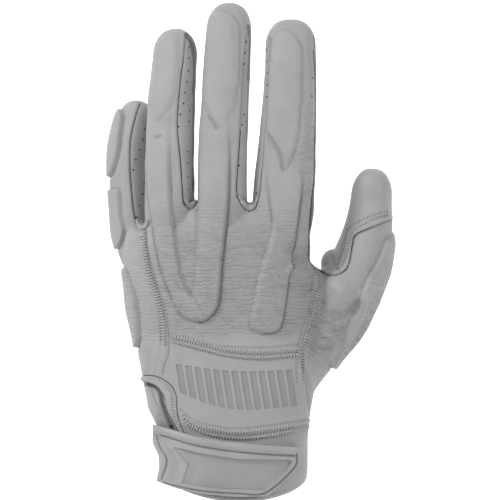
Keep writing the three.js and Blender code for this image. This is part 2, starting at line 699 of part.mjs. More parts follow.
// Slit binding, strap and tab
const binding = bar(["hand"], 0, BINDING.map(([x, z]) => [x, z, BINDING_HALF]), BINDING_HEIGHT);
addPiece("slit_binding", binding.subtract(padded), PANEL_GREY);
const wristLayer = (from, to) => loft(handRings(-to, 4)).subtract(loft(handRings(-from, 8)));
const strapZone = prism(STRAP_FRONT, -FAR, 0).add(prism(STRAP_BACK, -0.01, FAR));
addPiece("wrist_strap", wristLayer(GAP, GAP + STRAP_THICK).intersect(strapZone), ELASTIC_GREY);
const tabInner = 2 * GAP + STRAP_THICK;
const tab = wristLayer(tabInner, tabInner + TAB_THICK).intersect(prism(TAB_OUTLINE, -FAR, 0));
const tabOuter = tabInner + TAB_THICK;
const field = wristLayer(tabOuter - TAB_RECESS, tabOuter + 2).intersect(prism(TAB_FIELD, -FAR, 0));
addPiece("closure_tab", tab.subtract(field), MOULDED_GREY);

export default glove;
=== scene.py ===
"""Padded football glove, left hand, upright with its back to the camera.

Lengths in the tables are millimetres in the part's own frame: +Z to the fingertips, -Y out of the back
of the hand, +X to the thumb. Lines and outlines that were read from the photograph are tables of its
pixels, named ..._PX, and PIXEL says how many millimetres one of them is.
"""

import math

import bpy
import numpy as np
from bpy.props import FloatProperty, FloatVectorProperty, PointerProperty
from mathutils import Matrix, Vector, noise
from mathutils.bvhtree import BVHTree


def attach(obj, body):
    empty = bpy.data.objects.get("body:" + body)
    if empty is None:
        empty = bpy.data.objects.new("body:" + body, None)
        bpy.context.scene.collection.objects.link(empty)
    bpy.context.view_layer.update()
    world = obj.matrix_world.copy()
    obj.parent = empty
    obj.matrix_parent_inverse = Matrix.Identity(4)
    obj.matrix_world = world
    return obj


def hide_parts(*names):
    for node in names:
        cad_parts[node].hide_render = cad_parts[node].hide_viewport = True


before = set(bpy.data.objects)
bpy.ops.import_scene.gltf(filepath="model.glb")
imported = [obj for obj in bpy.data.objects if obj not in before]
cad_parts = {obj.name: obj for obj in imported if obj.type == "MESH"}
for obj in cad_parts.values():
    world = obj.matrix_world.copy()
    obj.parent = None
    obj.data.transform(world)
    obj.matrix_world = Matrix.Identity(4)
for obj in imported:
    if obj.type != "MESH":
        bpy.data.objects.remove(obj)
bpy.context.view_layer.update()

bl_info = {
    "name": "Football glove",
    "version": (1, 0, 0),
    "blender": (4, 5, 0),
    "location": "3D View > Sidebar > Glove",
    "description": "Models a padded football glove piece by piece",
    "category": "Add Mesh",
}

MM = 0.001
PIXEL = 0.46  # millimetres
PIXEL_X = 235.0  # the photograph's column at x = 0
PIXEL_Y = 499.5  # the photograph's row at z = 0
PHOTO_SIZE = 500
IN_FRONT_Y = -0.08  # metres, clear of every piece

# Stage, in metres. Lamps: name, place, size, power.
WHITE = (1, 1, 1, 1)
WORLD_LIGHT = 0.48
LAMPS = (("key", (-0.95, -0.62, 1.05), 0.3, 10.5), ("fill", (1.25, -0.95, 0.5), 1.0, 4.6))
LIT_POINT = (0, 0, 0.11)
FLOOR_Z, BACKDROP_Y = -0.3, 5
LENS, SENSOR = 400, 36  # millimetres

# Fingers and thumb: x, y, z of the middle line, width, depth. roll turns the nail side to the little finger,
# and tip is the length of the domed end.
DIGITS = {
    "index": dict(roll=3, tip=12, stations=[
        (19.5, 0, 104, 19, 13), (21.8, -1.8, 127, 27.6, 21), (22.6, -1.8, 144, 28.2, 20.6),
        (23.8, -1.5, 160, 26.8, 20), (25.3, 1, 188, 24.4, 19), (25.6, 4.5, 208, 23.4, 18), (25.5, 7, 221, 22, 17)]),
    "middle": dict(roll=14, tip=12, stations=[
        (-6, -2, 104, 17, 13), (-5.9, -4.2, 127, 22, 20.5), (-5.7, -4.2, 144, 22.2, 20),
        (-5.6, -4, 160, 22.2, 19.5), (-4.4, -1.5, 186, 21.6, 18.5), (-3.2, 2.5, 210, 21, 18),
        (-2, 6, 228.4, 20, 17)]),
    "ring": dict(roll=28, tip=12, stations=[
        (-28.5, 1, 102, 16, 13), (-30, -1.4, 125, 21.4, 20), (-30, -1.4, 142, 22.2, 19.8),
        (-30, 0, 158, 22, 19.5), (-29.2, 3, 184, 21.4, 18.5), (-27.8, 7.5, 204, 20.2, 17.5),
        (-27, 10.5, 216.8, 19, 16.5)]),
    "little": dict(roll=46, tip=10.5, stations=[
        (-41, 8, 96, 12, 11), (-46.4, 11, 119, 16.6, 17), (-47.6, 11.6, 130, 17, 17.6),
        (-48.4, 12.8, 142, 17.4, 18), (-48.6, 15, 158, 17.8, 18), (-46.8, 18.4, 171, 17.8, 17),
        (-43.8, 22, 183.6, 17, 16)]),
    "thumb": dict(roll=-55, tip=11, stations=[
        (20, 5, 42, 19, 19), (28, 7, 62, 25.5, 28), (39.2, 8.2, 76, 25.6, 27), (47, 9, 88, 27.6, 28),
        (56.2, 10, 106, 25.5, 25), (61.2, 10.5, 122, 20.4, 22), (62.8, 10, 138, 16.6, 19),
        (64.1, 9, 152.4, 15.6, 17)]),
}
# Hand from the cuff to the webs: z, left, right, back, palm, arch of the back, rise of the thumb side
HAND = [
    (-5, -32.8, 31.5, -22.5, 22.5, 0, 0), (14, -32.8, 33.4, -22.5, 22.5, 0, 0), (28, -33.6, 33.4, -22, 22, 0, 0),
    (42, -40, 35, -21, 21.5, 0.5, 0), (57, -42.8, 38, -19.5, 22, 1, 0), (73, -45.5, 37, -18.6, 22.5, 2, 1),
    (90, -48.8, 35.5, -18, 22.5, 3, 2), (106, -50.6, 34.8, -17.2, 20.5, 4.5, 3),
    (117, -51.4, 34.6, -15.8, 17, 5, 4), (125, -51, 34, -13.4, 13, 5, 5), (130.5, -48.5, 32.6, -9.5, 8, 5, 5),
]
# Thumb web across the hand: x, y, z, half height, half depth
WEB = [
    (24, 5, 86, 18, 12), (33, 6, 88, 21.5, 11), (37, 6.8, 88, 19.5, 10.5), (41, 7.5, 88, 16.5, 10),
    (50, 9, 90, 15, 11),
]
# Lumps that the webs need beside the tubes
ROLLED_FOLD = dict(centre=(45.4, 11, 108.6), size=(5.6, 6.3, 6.6), lean=-0.35)
FINGER_WEBS = [
    dict(centre=(-18.4, -3.6, 124.8), size=(7, 8.8, 12.2), lean=0),
    dict(centre=(6.4, -4.2, 123.4), size=(8, 9.2, 13.4), lean=0),
]

PALM_SEAM_Y = 3.5  # side seam of the hand
THUMB_SEAM_Y = 11
CUFF_TOP = 37.5  # where the cuff meets the palm
CUFF_SAG = 9.5  # rise of the cuff's mouth towards its sides
CUFF_CORNER = 5  # further rise at its corner on the thumb side
CUFF_HALF_WIDTH = 35
CUFF_LOWEST_X = 2.5
ROOT_Z = 121  # the finger seams start
SIDE_SEAM = 5.6  # of a fourchette, from the finger's middle line
SQUARENESS = 2.5  # of the sections of the hand and the digits: 2 is an ellipse
SEAM_FALL = (55, 6)  # the fourchettes' upper seams fall to the middle between these distances from the tip
OUTER_SEAMS = {"index": -3, "little": 0}  # height of the seam on the outer side
FOURCHETTE_TOP_ROW = 30
FINGERS_TO_X, WRAP_FROM_X, THUMB_FROM_X = 37, 37.5, 38
WRAP_FROM_Z = 100
SLIT_FROM_ROW = 380
HEM_COVER = 0.3

# Foam pads on the back: outline, swell, edge width, and whether they turn round the side of the hand.
PADS_PX = {
    "middle_tip": ([(202, 62), (203.5, 30), (211, 14), (222, 11.5), (232, 15.5), (236.5, 24), (238, 60), (237, 96),
                    (231, 114), (217, 129), (207, 121), (200, 100)], 0.5, 3.4, False),
    "ring_tip": ([(150, 66), (155, 46), (163, 35), (172, 33), (178, 37), (179, 60), (176, 90), (170, 109),
                  (160, 121), (150, 112), (147, 86)], 0.45, 3.4, False),
    "index_tip": ([(268, 62), (271, 44), (279, 33), (288, 31.5), (296, 37), (300, 48), (300.5, 90), (299, 128),
                   (295, 150), (289, 163), (283, 171), (280, 156), (268, 136), (266, 100)], 0.6, 2.6, False),
    "ring_arm": ([(146, 112), (158, 108), (169, 114), (170.5, 170), (172.5, 207), (177, 240), (182.5, 274),
                  (191.5, 294), (196, 300), (204, 320), (190, 319), (180, 313), (170, 292), (160, 262),
                  (153, 225), (147, 180)], 1.6, 1.9, False),
    "middle_arm": ([(200, 112), (212, 106), (224, 108), (229.5, 130), (228.5, 190), (226.5, 222), (222, 262),
                    (219, 300), (213, 313), (203, 320.5), (188, 319), (181, 312), (186, 300), (194, 289),
                    (197.5, 246), (199, 190)], 1.75, 1.8, False),
    "index_hand": ([(268, 174), (276, 168), (284, 170), (296, 168), (302, 174), (300, 200), (295.5, 235),
                    (289.5, 272), (285.5, 300), (281.5, 323), (276, 330.5), (263, 332.5), (254, 330),
                    (250.5, 322), (255, 297), (261, 268), (270, 240), (273, 222), (269, 196)], 1.5, 1.7, False),
    "little_tip": ([(98, 150), (104, 122), (116, 108), (122, 111), (121, 130), (117.5, 155), (109, 177),
                    (98, 172)], 1.3, 1.3, True),
    "little_knuckle": ([(104, 194), (114, 189), (119.5, 192), (121, 215), (124, 233), (117, 249),
                        (106, 244)], 1.2, 1.2, True),
    "ulnar": ([(112, 276), (124, 267), (131, 284), (137, 303), (139.5, 328), (138, 347), (126, 348),
               (114, 310)], 1.6, 1.2, True),
    "thumb": ([(386, 238), (404, 226), (404, 262), (398, 288), (388, 312), (372, 342), (352, 364), (338, 370),
               (330, 366), (334, 356), (345, 333), (356, 305), (364, 284), (376, 262)], 1.9, 1.1, True),
}
# Pads that rise slowly out of the finger: the rows between which they do
PAD_RISES_PX = {"ring_arm": (118, 190), "middle_arm": (112, 215), "index_hand": (160, 215), "thumb": (224, 246)}

# Seams: the line where two panels meet
ULNAR_SEAM_PX = [
    (145, 222), (148, 250), (153.8, 273), (161.3, 295), (167, 314.6), (169.3, 333), (169.3, 352), (166, 362),
    (163, 374),
]
BACK_SEAM_PX = [(169.5, 334), (183, 336.5), (196, 340.3), (216, 345), (240, 347), (270, 346.8), (300, 343.5)]
THUMB_SEAM_PX = [
    (309.5, 258), (313, 267), (316, 275), (315.5, 293), (310, 316), (303.5, 338), (300.5, 354), (304, 372),
    (307, 392), (309.5, 418),
]
WRIST_SEAM_PX = [(179, 406), (183, 411), (197.8, 420.8), (219.4, 426), (239.3, 427.6), (272.4, 424), (313, 417)]
WRAP_SEAM_PX = [
    (321, 271), (327, 274.5), (333, 275.8), (339, 274), (345.5, 269.5), (348.8, 263), (350.5, 255), (352.4, 244),
    (355.2, 235), (370, 228), (391, 219.5),
]
SLIT_PX = [
    (138, 382), (146, 382.8), (154, 385), (160.5, 391), (163.8, 404), (168, 416), (173, 428), (177, 442),
    (179, 470), (180, 506),
]
RING_SEAM_PX = [
    (186, 33), (183.5, 60), (181, 78), (178.2, 111), (177.8, 130), (180.5, 158), (182.5, 186), (184, 202),
    (189.5, 209.5),
]
MIDDLE_SEAM_PX = [
    (247, 34), (244.5, 60), (242.5, 90), (240.5, 130), (238.8, 155), (237.2, 176), (237, 194), (249, 211.5),
]
INDEX_SEAM_PX = [(270, 36), (268.5, 78), (266, 114), (263.5, 145), (261, 176), (258, 200), (249.5, 211.5)]
LITTLE_SEAM_PX = [(139.5, 103), (134.5, 120), (130.5, 140), (130, 165), (131, 182), (133.5, 208), (137.3, 227)]

# Height of the leather beside its seams, and painted shade in them. Rows: offset, height and width in millimetres,
# darkness of the painted shade.
# A line that runs down the photograph has its left side at positive offsets, one to the right its lower side.
SEAM_FORMS = [
    (ULNAR_SEAM_PX, False, [(0, -0.4, 0.4, 0.4), (1.9, 0.35, 0.9, 0), (3.8, -0.2, 0.5, 0.1)]),
    (BACK_SEAM_PX, False, [(0, -0.25, 0.4, 0.12), (-1, 0.25, 0.8, 0), (1.2, 0.2, 0.7, 0)]),
    (THUMB_SEAM_PX, False, [(0, -0.45, 0.5, 0.3), (1.5, 0.3, 0.9, 0), (-1.5, 0.3, 0.9, 0)]),
    (WRIST_SEAM_PX, True, [(0, -0.25, 0.4, 0.15), (-0.9, 0.2, 0.8, 0), (1.5, 0.4, 0.9, 0)]),
    (WRAP_SEAM_PX, True, [(0.25, -0.55, 0.4, 0.45), (-1, 0.3, 1.2, 0)]),
    (RING_SEAM_PX, False, [(0, -0.45, 0.4, 0.4), (1.1, 0.25, 0.9, 0)]),
    (MIDDLE_SEAM_PX, False, [(0, -0.4, 0.4, 0.35), (1.1, 0.25, 0.9, 0)]),
    (INDEX_SEAM_PX, False, [(0, -0.4, 0.4, 0.35), (-1.1, 0.25, 0.9, 0)]),
    (LITTLE_SEAM_PX, False, [(0, -0.45, 0.4, 0.45), (1.1, 0.25, 0.9, 0)]),
]
# Lapped seams: rows of needle holes with thread between them
LAP_ROWS_PX = {
    "ulnar_outer": [(141, 236), (143.9, 250), (147.2, 270), (154.2, 291.5), (159.5, 310), (161.5, 325), (162, 341)],
    "ulnar_inner": [(145.5, 232), (147, 250), (151.2, 271), (158.3, 292), (164, 313), (166, 330), (166.3, 346)],
    "back_upper": [(170, 337.5), (185, 341), (206, 345.8), (232, 352.5), (264, 354.2), (298, 351.5)],
    "back_lower": [(172, 341.5), (190, 346.5), (214, 353), (236, 357), (264, 358.4), (298, 355.5)],
    "thumb_left": [(311.5, 268), (311.5, 293), (306.5, 316), (299.6, 339), (296.8, 352), (296.8, 382)],
    "thumb_right": [(319, 272), (319, 293), (314, 316), (307.5, 337), (303.5, 350), (303, 382)],
    "wrist_upper": [(184, 417.5), (189.5, 422.5), (206, 430), (231, 434), (249.2, 434), (272.4, 430.7),
                    (310, 423.5)],
    "wrist_lower": [(188, 423.5), (196, 429), (214.4, 435.5), (239.3, 438.6), (264, 437), (289, 433), (310, 429)],
    "wrap_upper": [(388, 211), (376, 214.4), (366, 218.6), (358, 222.4), (352, 225.6), (348, 230.5), (346.4, 237),
                   (344.8, 244), (342.6, 252), (340, 260), (336, 267)],
    "wrap_lower": [(388, 215), (378, 217.6), (369, 222), (360, 226.6), (353.8, 231), (351, 236.5), (349.4, 244),
                   (347.6, 252), (345.4, 259), (341, 267), (334, 271)],
    "binding": [(147, 378), (156.3, 378.6), (163, 381.8), (169.8, 389.5), (172.4, 398), (172.8, 407.5),
                (175, 416.5), (181.5, 429)],
}
# Threads that cross a seam: middle line, length in millimetres, slant along the seam
LADDERS_PX = [
    ([(315.3, 268), (315.4, 293), (310.2, 316), (303.6, 338), (300.2, 352)], 2.9, 0.45),
    ([(142.5, 236), (145.5, 250), (149.2, 270), (156.3, 291.8), (161.8, 311), (163.8, 327), (164.2, 344)],
     1.7, 0.5),
    ([(171, 334.5), (186, 338), (207, 342.5), (233, 349), (264, 350.6), (298, 348)], 1.3, 0.1),
    ([(171, 339.5), (187, 343.8), (209, 349.2), (234, 354.8), (264, 356.3), (298, 353.6)], 1.5, 0.35),
    ([(184, 413), (190.5, 418), (207, 425.5), (231, 430), (249.2, 430), (272.4, 427), (311, 419.5)], 1.4, 0.1),
    ([(186, 420.5), (193, 425.8), (210, 432.7), (235, 436.3), (256, 436), (281, 432.3), (311, 426.4)], 1.5, 0.35),
]

THUMB_RIDGE_PX = [(361, 292), (359, 308), (350, 328), (344, 340), (336, 350), (330, 358)]
# Folds and creases: line, height, width in millimetres, darkness of the painted shade
FOLDS_PX = [
    ([(270, 38), (279, 32), (290, 35), (299, 46), (300.5, 60), (300.5, 104)], 0.45, 0.8, 0),
    ([(300, 41), (303.6, 52), (304, 104)], -0.3, 0.9, 0.07),
    ([(206, 20), (215, 13.5), (226, 15), (235.5, 22), (238, 32), (238, 84)], 0.4, 0.8, 0),
    ([(236, 18), (241, 30), (241, 84)], -0.25, 0.9, 0.05),
    ([(268, 135), (275, 146), (281, 156), (283, 170)], -0.75, 0.9, 0.28),
    ([(272, 135), (279, 146), (285, 157), (287, 169)], 0.35, 1.2, 0),
    ([(209, 117), (213, 122), (217.5, 129)], -0.85, 0.8, 0.35),
    ([(204, 106), (210, 116)], -0.35, 1.2, 0.05),
    ([(158, 122), (165, 116), (171, 109)], -0.4, 1.2, 0.08),
    ([(163, 121), (170, 113)], 0.35, 1.2, 0),
    ([(157, 138), (161, 136.5)], -0.6, 0.8, 0.3),
    ([(288, 250), (298, 256), (307, 262)], -1.1, 2.4, 0.2),
    ([(288, 268), (299, 270.5), (309, 273)], 2.2, 2.1, 0),
    ([(289, 280), (301, 283), (310, 287)], -0.9, 1.9, 0.12),
    ([(331, 281), (341, 292), (350, 303)], 1.2, 3.8, 0),
    ([(334, 322), (346, 313), (357, 301)], -1.3, 2, 0.16),
    ([(318, 300), (322, 318), (318, 336)], -0.5, 2.0, 0.06),
    ([(310, 336), (307, 350), (305.5, 366)], 0.5, 1.1, 0),
    ([(306, 372), (310, 388), (315, 400)], -0.5, 0.9, 0.18),
    (THUMB_RIDGE_PX, 1.3, 1.3, 0),
    ([(333, 256), (335, 264), (340, 272)], -0.35, 0.6, 0.2),
    ([(376, 290), (366, 316), (352, 340)], -0.7, 2.6, 0.1),
    ([(170, 346), (176, 352), (174, 366)], 0.4, 2.0, 0),
    ([(146, 352), (150, 362), (148, 374)], -0.4, 1.6, 0.05),
    ([(378, 232), (388, 238)], -0.3, 1.6, 0),
    ([(236, 196), (241, 200), (245.5, 199)], -0.5, 0.6, 0.45),
    ([(241, 203), (246, 207.5), (249.5, 208), (253, 206)], 0.5, 0.9, 0),
    ([(184, 203.5), (188, 204.5), (192, 202)], -0.5, 0.6, 0.4),
    ([(187, 207), (190, 207.5), (194, 204.5)], 0.5, 0.9, 0),
    ([(136, 222), (140, 226), (147, 227)], 0.5, 1.0, 0),
    ([(134, 227.5), (140, 231), (147, 232)], -0.35, 0.7, 0.2),
    ([(151.4, 388), (154.7, 398), (163, 414), (171, 428)], -0.5, 0.5, 0.35),
    ([(148, 388), (151, 399), (158.5, 413)], 0.5, 1.0, 0),
]
# Painted shadow where the palm's edge turns away beside the fingers: line, width in millimetres, darkness
SHADES_PX = [
    ([(186, 34.5), (191.5, 42), (194.6, 54), (195.6, 70), (194.6, 92)], 1.3, 0.95),
    ([(194.6, 92), (193.8, 130), (193.6, 190)], 0.75, 0.95),
    ([(248.5, 26), (250.6, 40), (249.8, 60), (248.6, 80)], 0.9, 0.9),
    ([(248.6, 80), (247.2, 130), (246.4, 190)], 0.5, 0.7),
    ([(313.6, 36), (315.6, 60), (315.8, 110), (315, 160), (314, 184)], 0.4, 0.9),
    ([(313.8, 184), (311.6, 210), (309.6, 236), (309.2, 256)], 0.65, 1.2),
]
# Thin near-black strips of painted shadow in the gaps along seams, panel edges and the slit's binding
EDGES_PX = {
    "finger_edge_ring": RING_SEAM_PX[1:] + [(194.5, 206.8), (198, 201)],
    "finger_edge_middle": MIDDLE_SEAM_PX[3:-1] + [(240, 203.5), (245.5, 210), (249.2, 211.5), (253.5, 210),
                                                 (257.5, 204), (259.8, 193), (262, 170)],
    "finger_edge_little": LITTLE_SEAM_PX,
    "palm_edge_index": [(313.2, 50), (314.8, 80), (315, 120), (314, 150), (313.6, 180), (311.2, 200), (309.4, 220),
                        (308.4, 240), (308, 254)],
    "wrap_edge": WRAP_SEAM_PX,
    "web_edge": [(308.5, 258), (310, 264), (316, 269), (322, 272.6)],
    "binding_outer": [(144, 375.4), (155, 375.2), (164.6, 379), (172.9, 386), (177, 396), (177.5, 409), (181, 424),
                      (186, 434)],
    "binding_inner": [(144, 381.6), (151.5, 382.6), (158.5, 387), (165.3, 396), (168, 409), (174, 421),
                      (180.5, 433)],
}
EDGE_HALF_WIDTHS = {"palm_edge_index": 0.38, "web_edge": 0.3}  # millimetres
# Lips of the fourchettes round the webs: middle line and half width, in pixels
WEB_LIPS_PX = {
    "web_lip_index_middle": [(238.6, 196, 1.3), (241.2, 202, 2.1), (245.4, 206.8, 2.7), (249.3, 208.2, 2.9),
                             (253.2, 206.8, 2.6), (256.6, 202, 2), (258.4, 196, 1.3)],
    "web_lip_middle_ring": [(185, 199.6, 1.3), (186.6, 203.2, 2.3), (190.2, 205.6, 2.9), (193.8, 203.8, 2.5),
                            (196.8, 200, 1.6)],
    "web_lip_ring_little": [(136.4, 220, 1.2), (139, 225.6, 2), (143.4, 228, 2.2), (147.4, 225.4, 2),
                            (149.4, 220, 1.2)],
}
AIR_HOLES_PX = [
    (189, 47), (189, 58), (188.6, 71), (187, 82), (185, 93), (183.8, 104), (180.6, 115), (178.9, 127), (190, 111),
    (189, 122), (188, 152), (187.3, 163.5), (188, 177), (189, 190), (192.5, 184), (246, 42), (245, 53),
    (244, 64.5), (244, 115), (242, 125.5), (246, 154), (239.2, 166), (266.5, 50), (266.5, 61), (267, 73),
    (267, 85), (267, 97), (259.8, 150), (256.6, 193.5), (312.7, 78.5), (311.8, 96.5), (144.4, 128.6),
    (142.8, 139), (139.4, 149.5), (135.6, 159.4), (133, 169.7), (143.7, 183.5), (142.4, 193.7), (139.5, 205.3),
    (136.5, 217.2),
]

# Grip ribs moulded in the wrist panel
RIB_TOP_PX = [(180, 364), (215, 369), (250, 371), (294, 369)]
RIB_BOTTOM_PX = [(180, 391), (215, 404), (250, 408), (294, 404)]
RIB_FIRST_X, RIB_LAST_X, RIB_STEP, RIB_WIDTH, RIB_LEAN = 183.0, 291.0, 9.0, 5.2, -0.16  # pixels
RIB_DEPTH = 0.4  # millimetres
RIB_LEVEL = 386  # the row at which the ribs' columns are counted
# Heights and widths of the relief
LINE_REACH = 6  # beside a seam or fold
PUCKER, PUCKER_STEP, PUCKER_WIDTH = 0.16, 1.3, 1.0  # between stitches
PAD_DOME_WIDTH = 6
FULL_SWELL = 1.6  # a pad this high has a full foot
PAD_PROBES_PX = ((0.6, 0), (0, 0.6))  # a step right and a step down
WRAP_RISE = 0.35
SLIT_DEPTH = 2.4
BULGE_RISE = 2.2
WRINKLE_LEAST = 0.04
# Random unevenness: how fine and how high
UNEVEN_SCALE, UNEVEN_RISE = 0.1, 0.3
WRINKLE_SCALES, WRINKLE_RISE = np.array((0.16, 0.16, 0.75)), 0.16
THUMB_WRINKLE_TURN = 0.5  # radians

# Closure tab and strap
TAB_OUTLINE_PX = [
    (153.2, 423.2), (176.2, 429), (196, 434.6), (222.7, 439), (255.8, 442.4), (301, 445.8), (297, 467.2),
    (268, 494), (239.3, 494.4), (206, 492), (179.5, 487), (156.6, 480), (161.3, 459), (152.6, 442),
]
TAB_FIELD_PX = [
    (173.7, 445.6), (206, 452.5), (239.3, 457.3), (289, 458.4), (291.5, 459.6), (287.4, 467), (264, 487),
    (222.7, 486.2), (183, 481), (188.7, 462),
]
# Grooves and rims of the tab: line, height, width in millimetres, darkness of the painted shade
TAB_LINES_PX = [
    ([(156.6, 434), (160, 446), (167, 459), (161.8, 478)], -0.8, 0.36, 1),
    ([(164, 481.3), (179.5, 484.8), (206, 489), (239, 491), (265.5, 490.3), (294, 466), (296.5, 452)],
     -0.7, 0.36, 1),
    ([(160, 434), (176, 438.5), (196, 443.6), (222.7, 448), (255.8, 451.6), (294, 453.8)], -0.7, 0.4, 0.9),
    ([(156, 428), (176, 433.2), (196, 438.6), (222.7, 443), (255.8, 446.6), (298, 449.4)], 0.8, 1.2, 0),
    ([(165, 441), (178, 452), (186, 462.5)], 0.35, 1.0, 0),
    ([(188, 463), (180, 480)], 0.3, 0.8, 0),
    ([(171, 450), (176, 462), (172, 480)], -0.5, 1.6, 0.12),
]
# The strap as cut on the front and on the palm side: x and z
STRAP_FRONT = [(-60, 33), (-20, 29), (-2.3, 26.2), (27, 23.6), (26.5, 16.6), (13.5, 5), (-4.6, 6), (-60, 10.4)]
STRAP_BACK = [(-60, 33), (-4, 31.5), (0, 27), (0, 15.5), (-4, 11), (-60, 10.4)]
STRAP_GAP = 0.3  # from layer to layer
STRAP_THICK = 1.8
TAB_THICK = 2.8
FIELD_DEPTH, FIELD_EDGE, FIELD_LEFT_SLOPE = 1.2, 0.45, 3.2  # of the tab's sunken field
LAYER_GRID = 0.0004  # metres
# Cloth binding of the slit: middle line and half width, in pixels
BINDING_PX = [
    (143.5, 378.6, 3), (153, 379, 3.6), (161.5, 383, 4.4), (169, 391, 5.4), (172, 402, 5.2), (173, 412, 4.4),
    (177.5, 422.5, 3.6), (183.5, 434, 3),
]


def pixels(where):
    """Columns and rows of the photograph for points in millimetres."""
    return np.stack([where[:, 0] / PIXEL + PIXEL_X, PIXEL_Y - where[:, 2] / PIXEL], axis=1)


def place_of(column, row):
    """x and z in millimetres of a pixel of the photograph."""
    return (column - PIXEL_X) * PIXEL, (PIXEL_Y - row) * PIXEL


def smoothstep(low, high, value):
    """A share that eases from 0 at low to 1 at high."""
    t = np.clip((value - low) / (high - low), 0, 1)
    return t * t * (3 - 2 * t)


def bell(distance, width):
    """A share that is 1 on a line and fades beside it."""
    return np.exp(-((distance / width) ** 2))


def smooth_line(points, steps=6):
    """A Catmull-Rom line through the points, in as many dimensions as they have."""
    p = np.array(points, float)
    p = np.vstack([2 * p[0] - p[1], p, 2 * p[-1] - p[-2]])
    line = []
    for i in range(1, len(p) - 2):
        a, b, c, d = p[i - 1 : i + 3]
        for t in np.linspace(0, 1, steps, endpoint=False):
            bend = 2 * a - 5 * b + 4 * c - d
            twist = 3 * b - a - 3 * c + d
            line.append(0.5 * (2 * b + (c - a) * t + bend * t**2 + twist * t**3))
    line.append(p[-2])
    return np.array(line)


def signed_distance(points, line):
    """Distance of points from a line, signed by its side, how far they lie past its ends, and the way along."""
    best = np.full(len(points), 1e9)
    side = np.ones(len(points))
    past = np.zeros(len(points))
    along = np.zeros(len(points))
    travelled = 0.0
    for i, (a, b) in enumerate(zip(line[:-1], line[1:])):
        way = b - a
        length = math.hypot(*way)
        share = ((points - a) @ way) / length**2
        t = np.clip(share, 0, 1)
        off = points - (a + t[:, None] * way)
        distance = np.hypot(off[:, 0], off[:, 1])
        nearer = distance < best
        best[nearer] = distance[nearer]
        side[nearer] = np.sign(way[0] * off[nearer, 1] - way[1] * off[nearer, 0] + 1e-12)
        beyond = np.zeros(len(points))
        if i == 0:
            beyond = np.maximum(beyond, -share * length)
        if i == len(line) - 2:
            beyond = np.maximum(beyond, (share - 1) * length)
        past[nearer] = beyond[nearer]
        along[nearer] = travelled + t[nearer] * length
        travelled += length
    return best * side, past, along


def near(at, line, reach):
    """Rows of the points that lie near a line or an outline."""
    margin = reach / PIXEL
    return np.nonzero(((at > line.min(0) - margin) & (at < line.max(0) + margin)).all(axis=1))[0]


def depth_inside(points, outline):
    """How far points lie inside a closed outline. Outside it the number is negative."""
    closed = np.vstack([outline, outline[:1]])
    distance = np.abs(signed_distance(points, closed)[0])
    inside = np.zeros(len(points), bool)
    for a, b in zip(closed[:-1], closed[1:]):
        crosses = (a[1] > points[:, 1]) != (b[1] > points[:, 1])
        level = b[1] - a[1] if b[1] != a[1] else 1
        inside ^= crosses & (points[:, 0] < (b[0] - a[0]) * (points[:, 1] - a[1]) / level + a[0])
    return np.where(inside, distance, -distance)


def rounded(outline, steps=5):
    """A closed outline with its corners smoothed."""
    ring = list(outline[-1:]) + list(outline) + list(outline[:2])
    return smooth_line(ring, steps)[steps : -steps - 1]


def select_only(*pieces):
    """Selects exactly these pieces and makes the first one active."""
    bpy.ops.object.select_all(action="DESELECT")
    for piece in pieces:
        piece.select_set(True)
    bpy.context.view_layer.objects.active = pieces[0]


def add_modifier(piece, kind, **settings):
    """Adds a modifier and applies it."""
    select_only(piece)
    modifier = piece.modifiers.new(kind.lower(), kind)
    for key, value in settings.items():
        setattr(modifier, key, value)
    bpy.ops.object.modifier_apply(modifier=modifier.name)


def choose_faces(piece, chosen):
    """Selects exactly the chosen faces and stays in edit mode."""
    select_only(piece)
    bpy.ops.object.mode_set(mode="EDIT")
    bpy.ops.mesh.select_mode(type="FACE")
    bpy.ops.mesh.select_all(action="DESELECT")
    bpy.ops.object.mode_set(mode="OBJECT")
    piece.data.polygons.foreach_set("select", chosen)
    bpy.ops.object.mode_set(mode="EDIT")


def read_all(items, key, each=1, kind=float):
    """One property of all of a mesh's points, edges, corners or faces."""
    values = np.empty(len(items) * each, kind)
    items.foreach_get(key, values)
    return values.reshape(-1, each) if each > 1 else values


def points_of(piece):
    """Places of the points, in millimetres."""
    return read_all(piece.data.vertices, "co", 3) / MM


def face_centres(piece):
    """Places of the faces' centres, in millimetres."""
    return read_all(piece.data.polygons, "center", 3) / MM


def normals_of(piece):
    """Unit vectors out of the surface at the points."""
    return read_all(piece.data.vertices, "normal", 3)


def place_points(piece, where):
    """Moves the points to new places, given in millimetres."""
    piece.data.vertices.foreach_set("co", (where * MM).ravel())
    piece.data.update()


def paint(piece, name, values):
    """Stores a number for each point, for the leather's shader."""
    attribute = piece.data.attributes.get(name) or piece.data.attributes.new(name, "FLOAT", "POINT")
    attribute.data.foreach_set("value", np.asarray(values, np.float32))


def tube(name, rings, capped=True):
    """A tube through rings of points, made from a grid that is rolled up."""
    rows, sides = rings.shape[:2]
    bpy.ops.object.select_all(action="DESELECT")
    bpy.ops.mesh.primitive_grid_add(x_subdivisions=sides, y_subdivisions=rows - 1, size=1)
    piece = bpy.context.object
    piece.name = name
    place_points(piece, np.concatenate([rings, rings[:, :1]], axis=1).reshape(-1, 3))
    bpy.ops.object.mode_set(mode="EDIT")
    bpy.ops.mesh.select_all(action="SELECT")
    bpy.ops.mesh.remove_doubles(threshold=1e-7)
    if capped:
        bpy.ops.mesh.select_all(action="SELECT")
        bpy.ops.mesh.fill_holes(sides=0)
    bpy.ops.mesh.select_all(action="SELECT")
    bpy.ops.mesh.normals_make_consistent(inside=False)
    bpy.ops.object.mode_set(mode="OBJECT")
    return piece


def section(sides, half=False):
    """Side and up shares of a rounded-rectangle section, or of its upper half."""
    angle = np.linspace(0, math.pi if half else 2 * math.pi, sides, endpoint=half)
    side, up = np.cos(angle), np.sin(angle)
    power = 2 / SQUARENESS
    return np.sign(side) * np.abs(side) ** power, np.sign(up) * np.abs(up) ** power


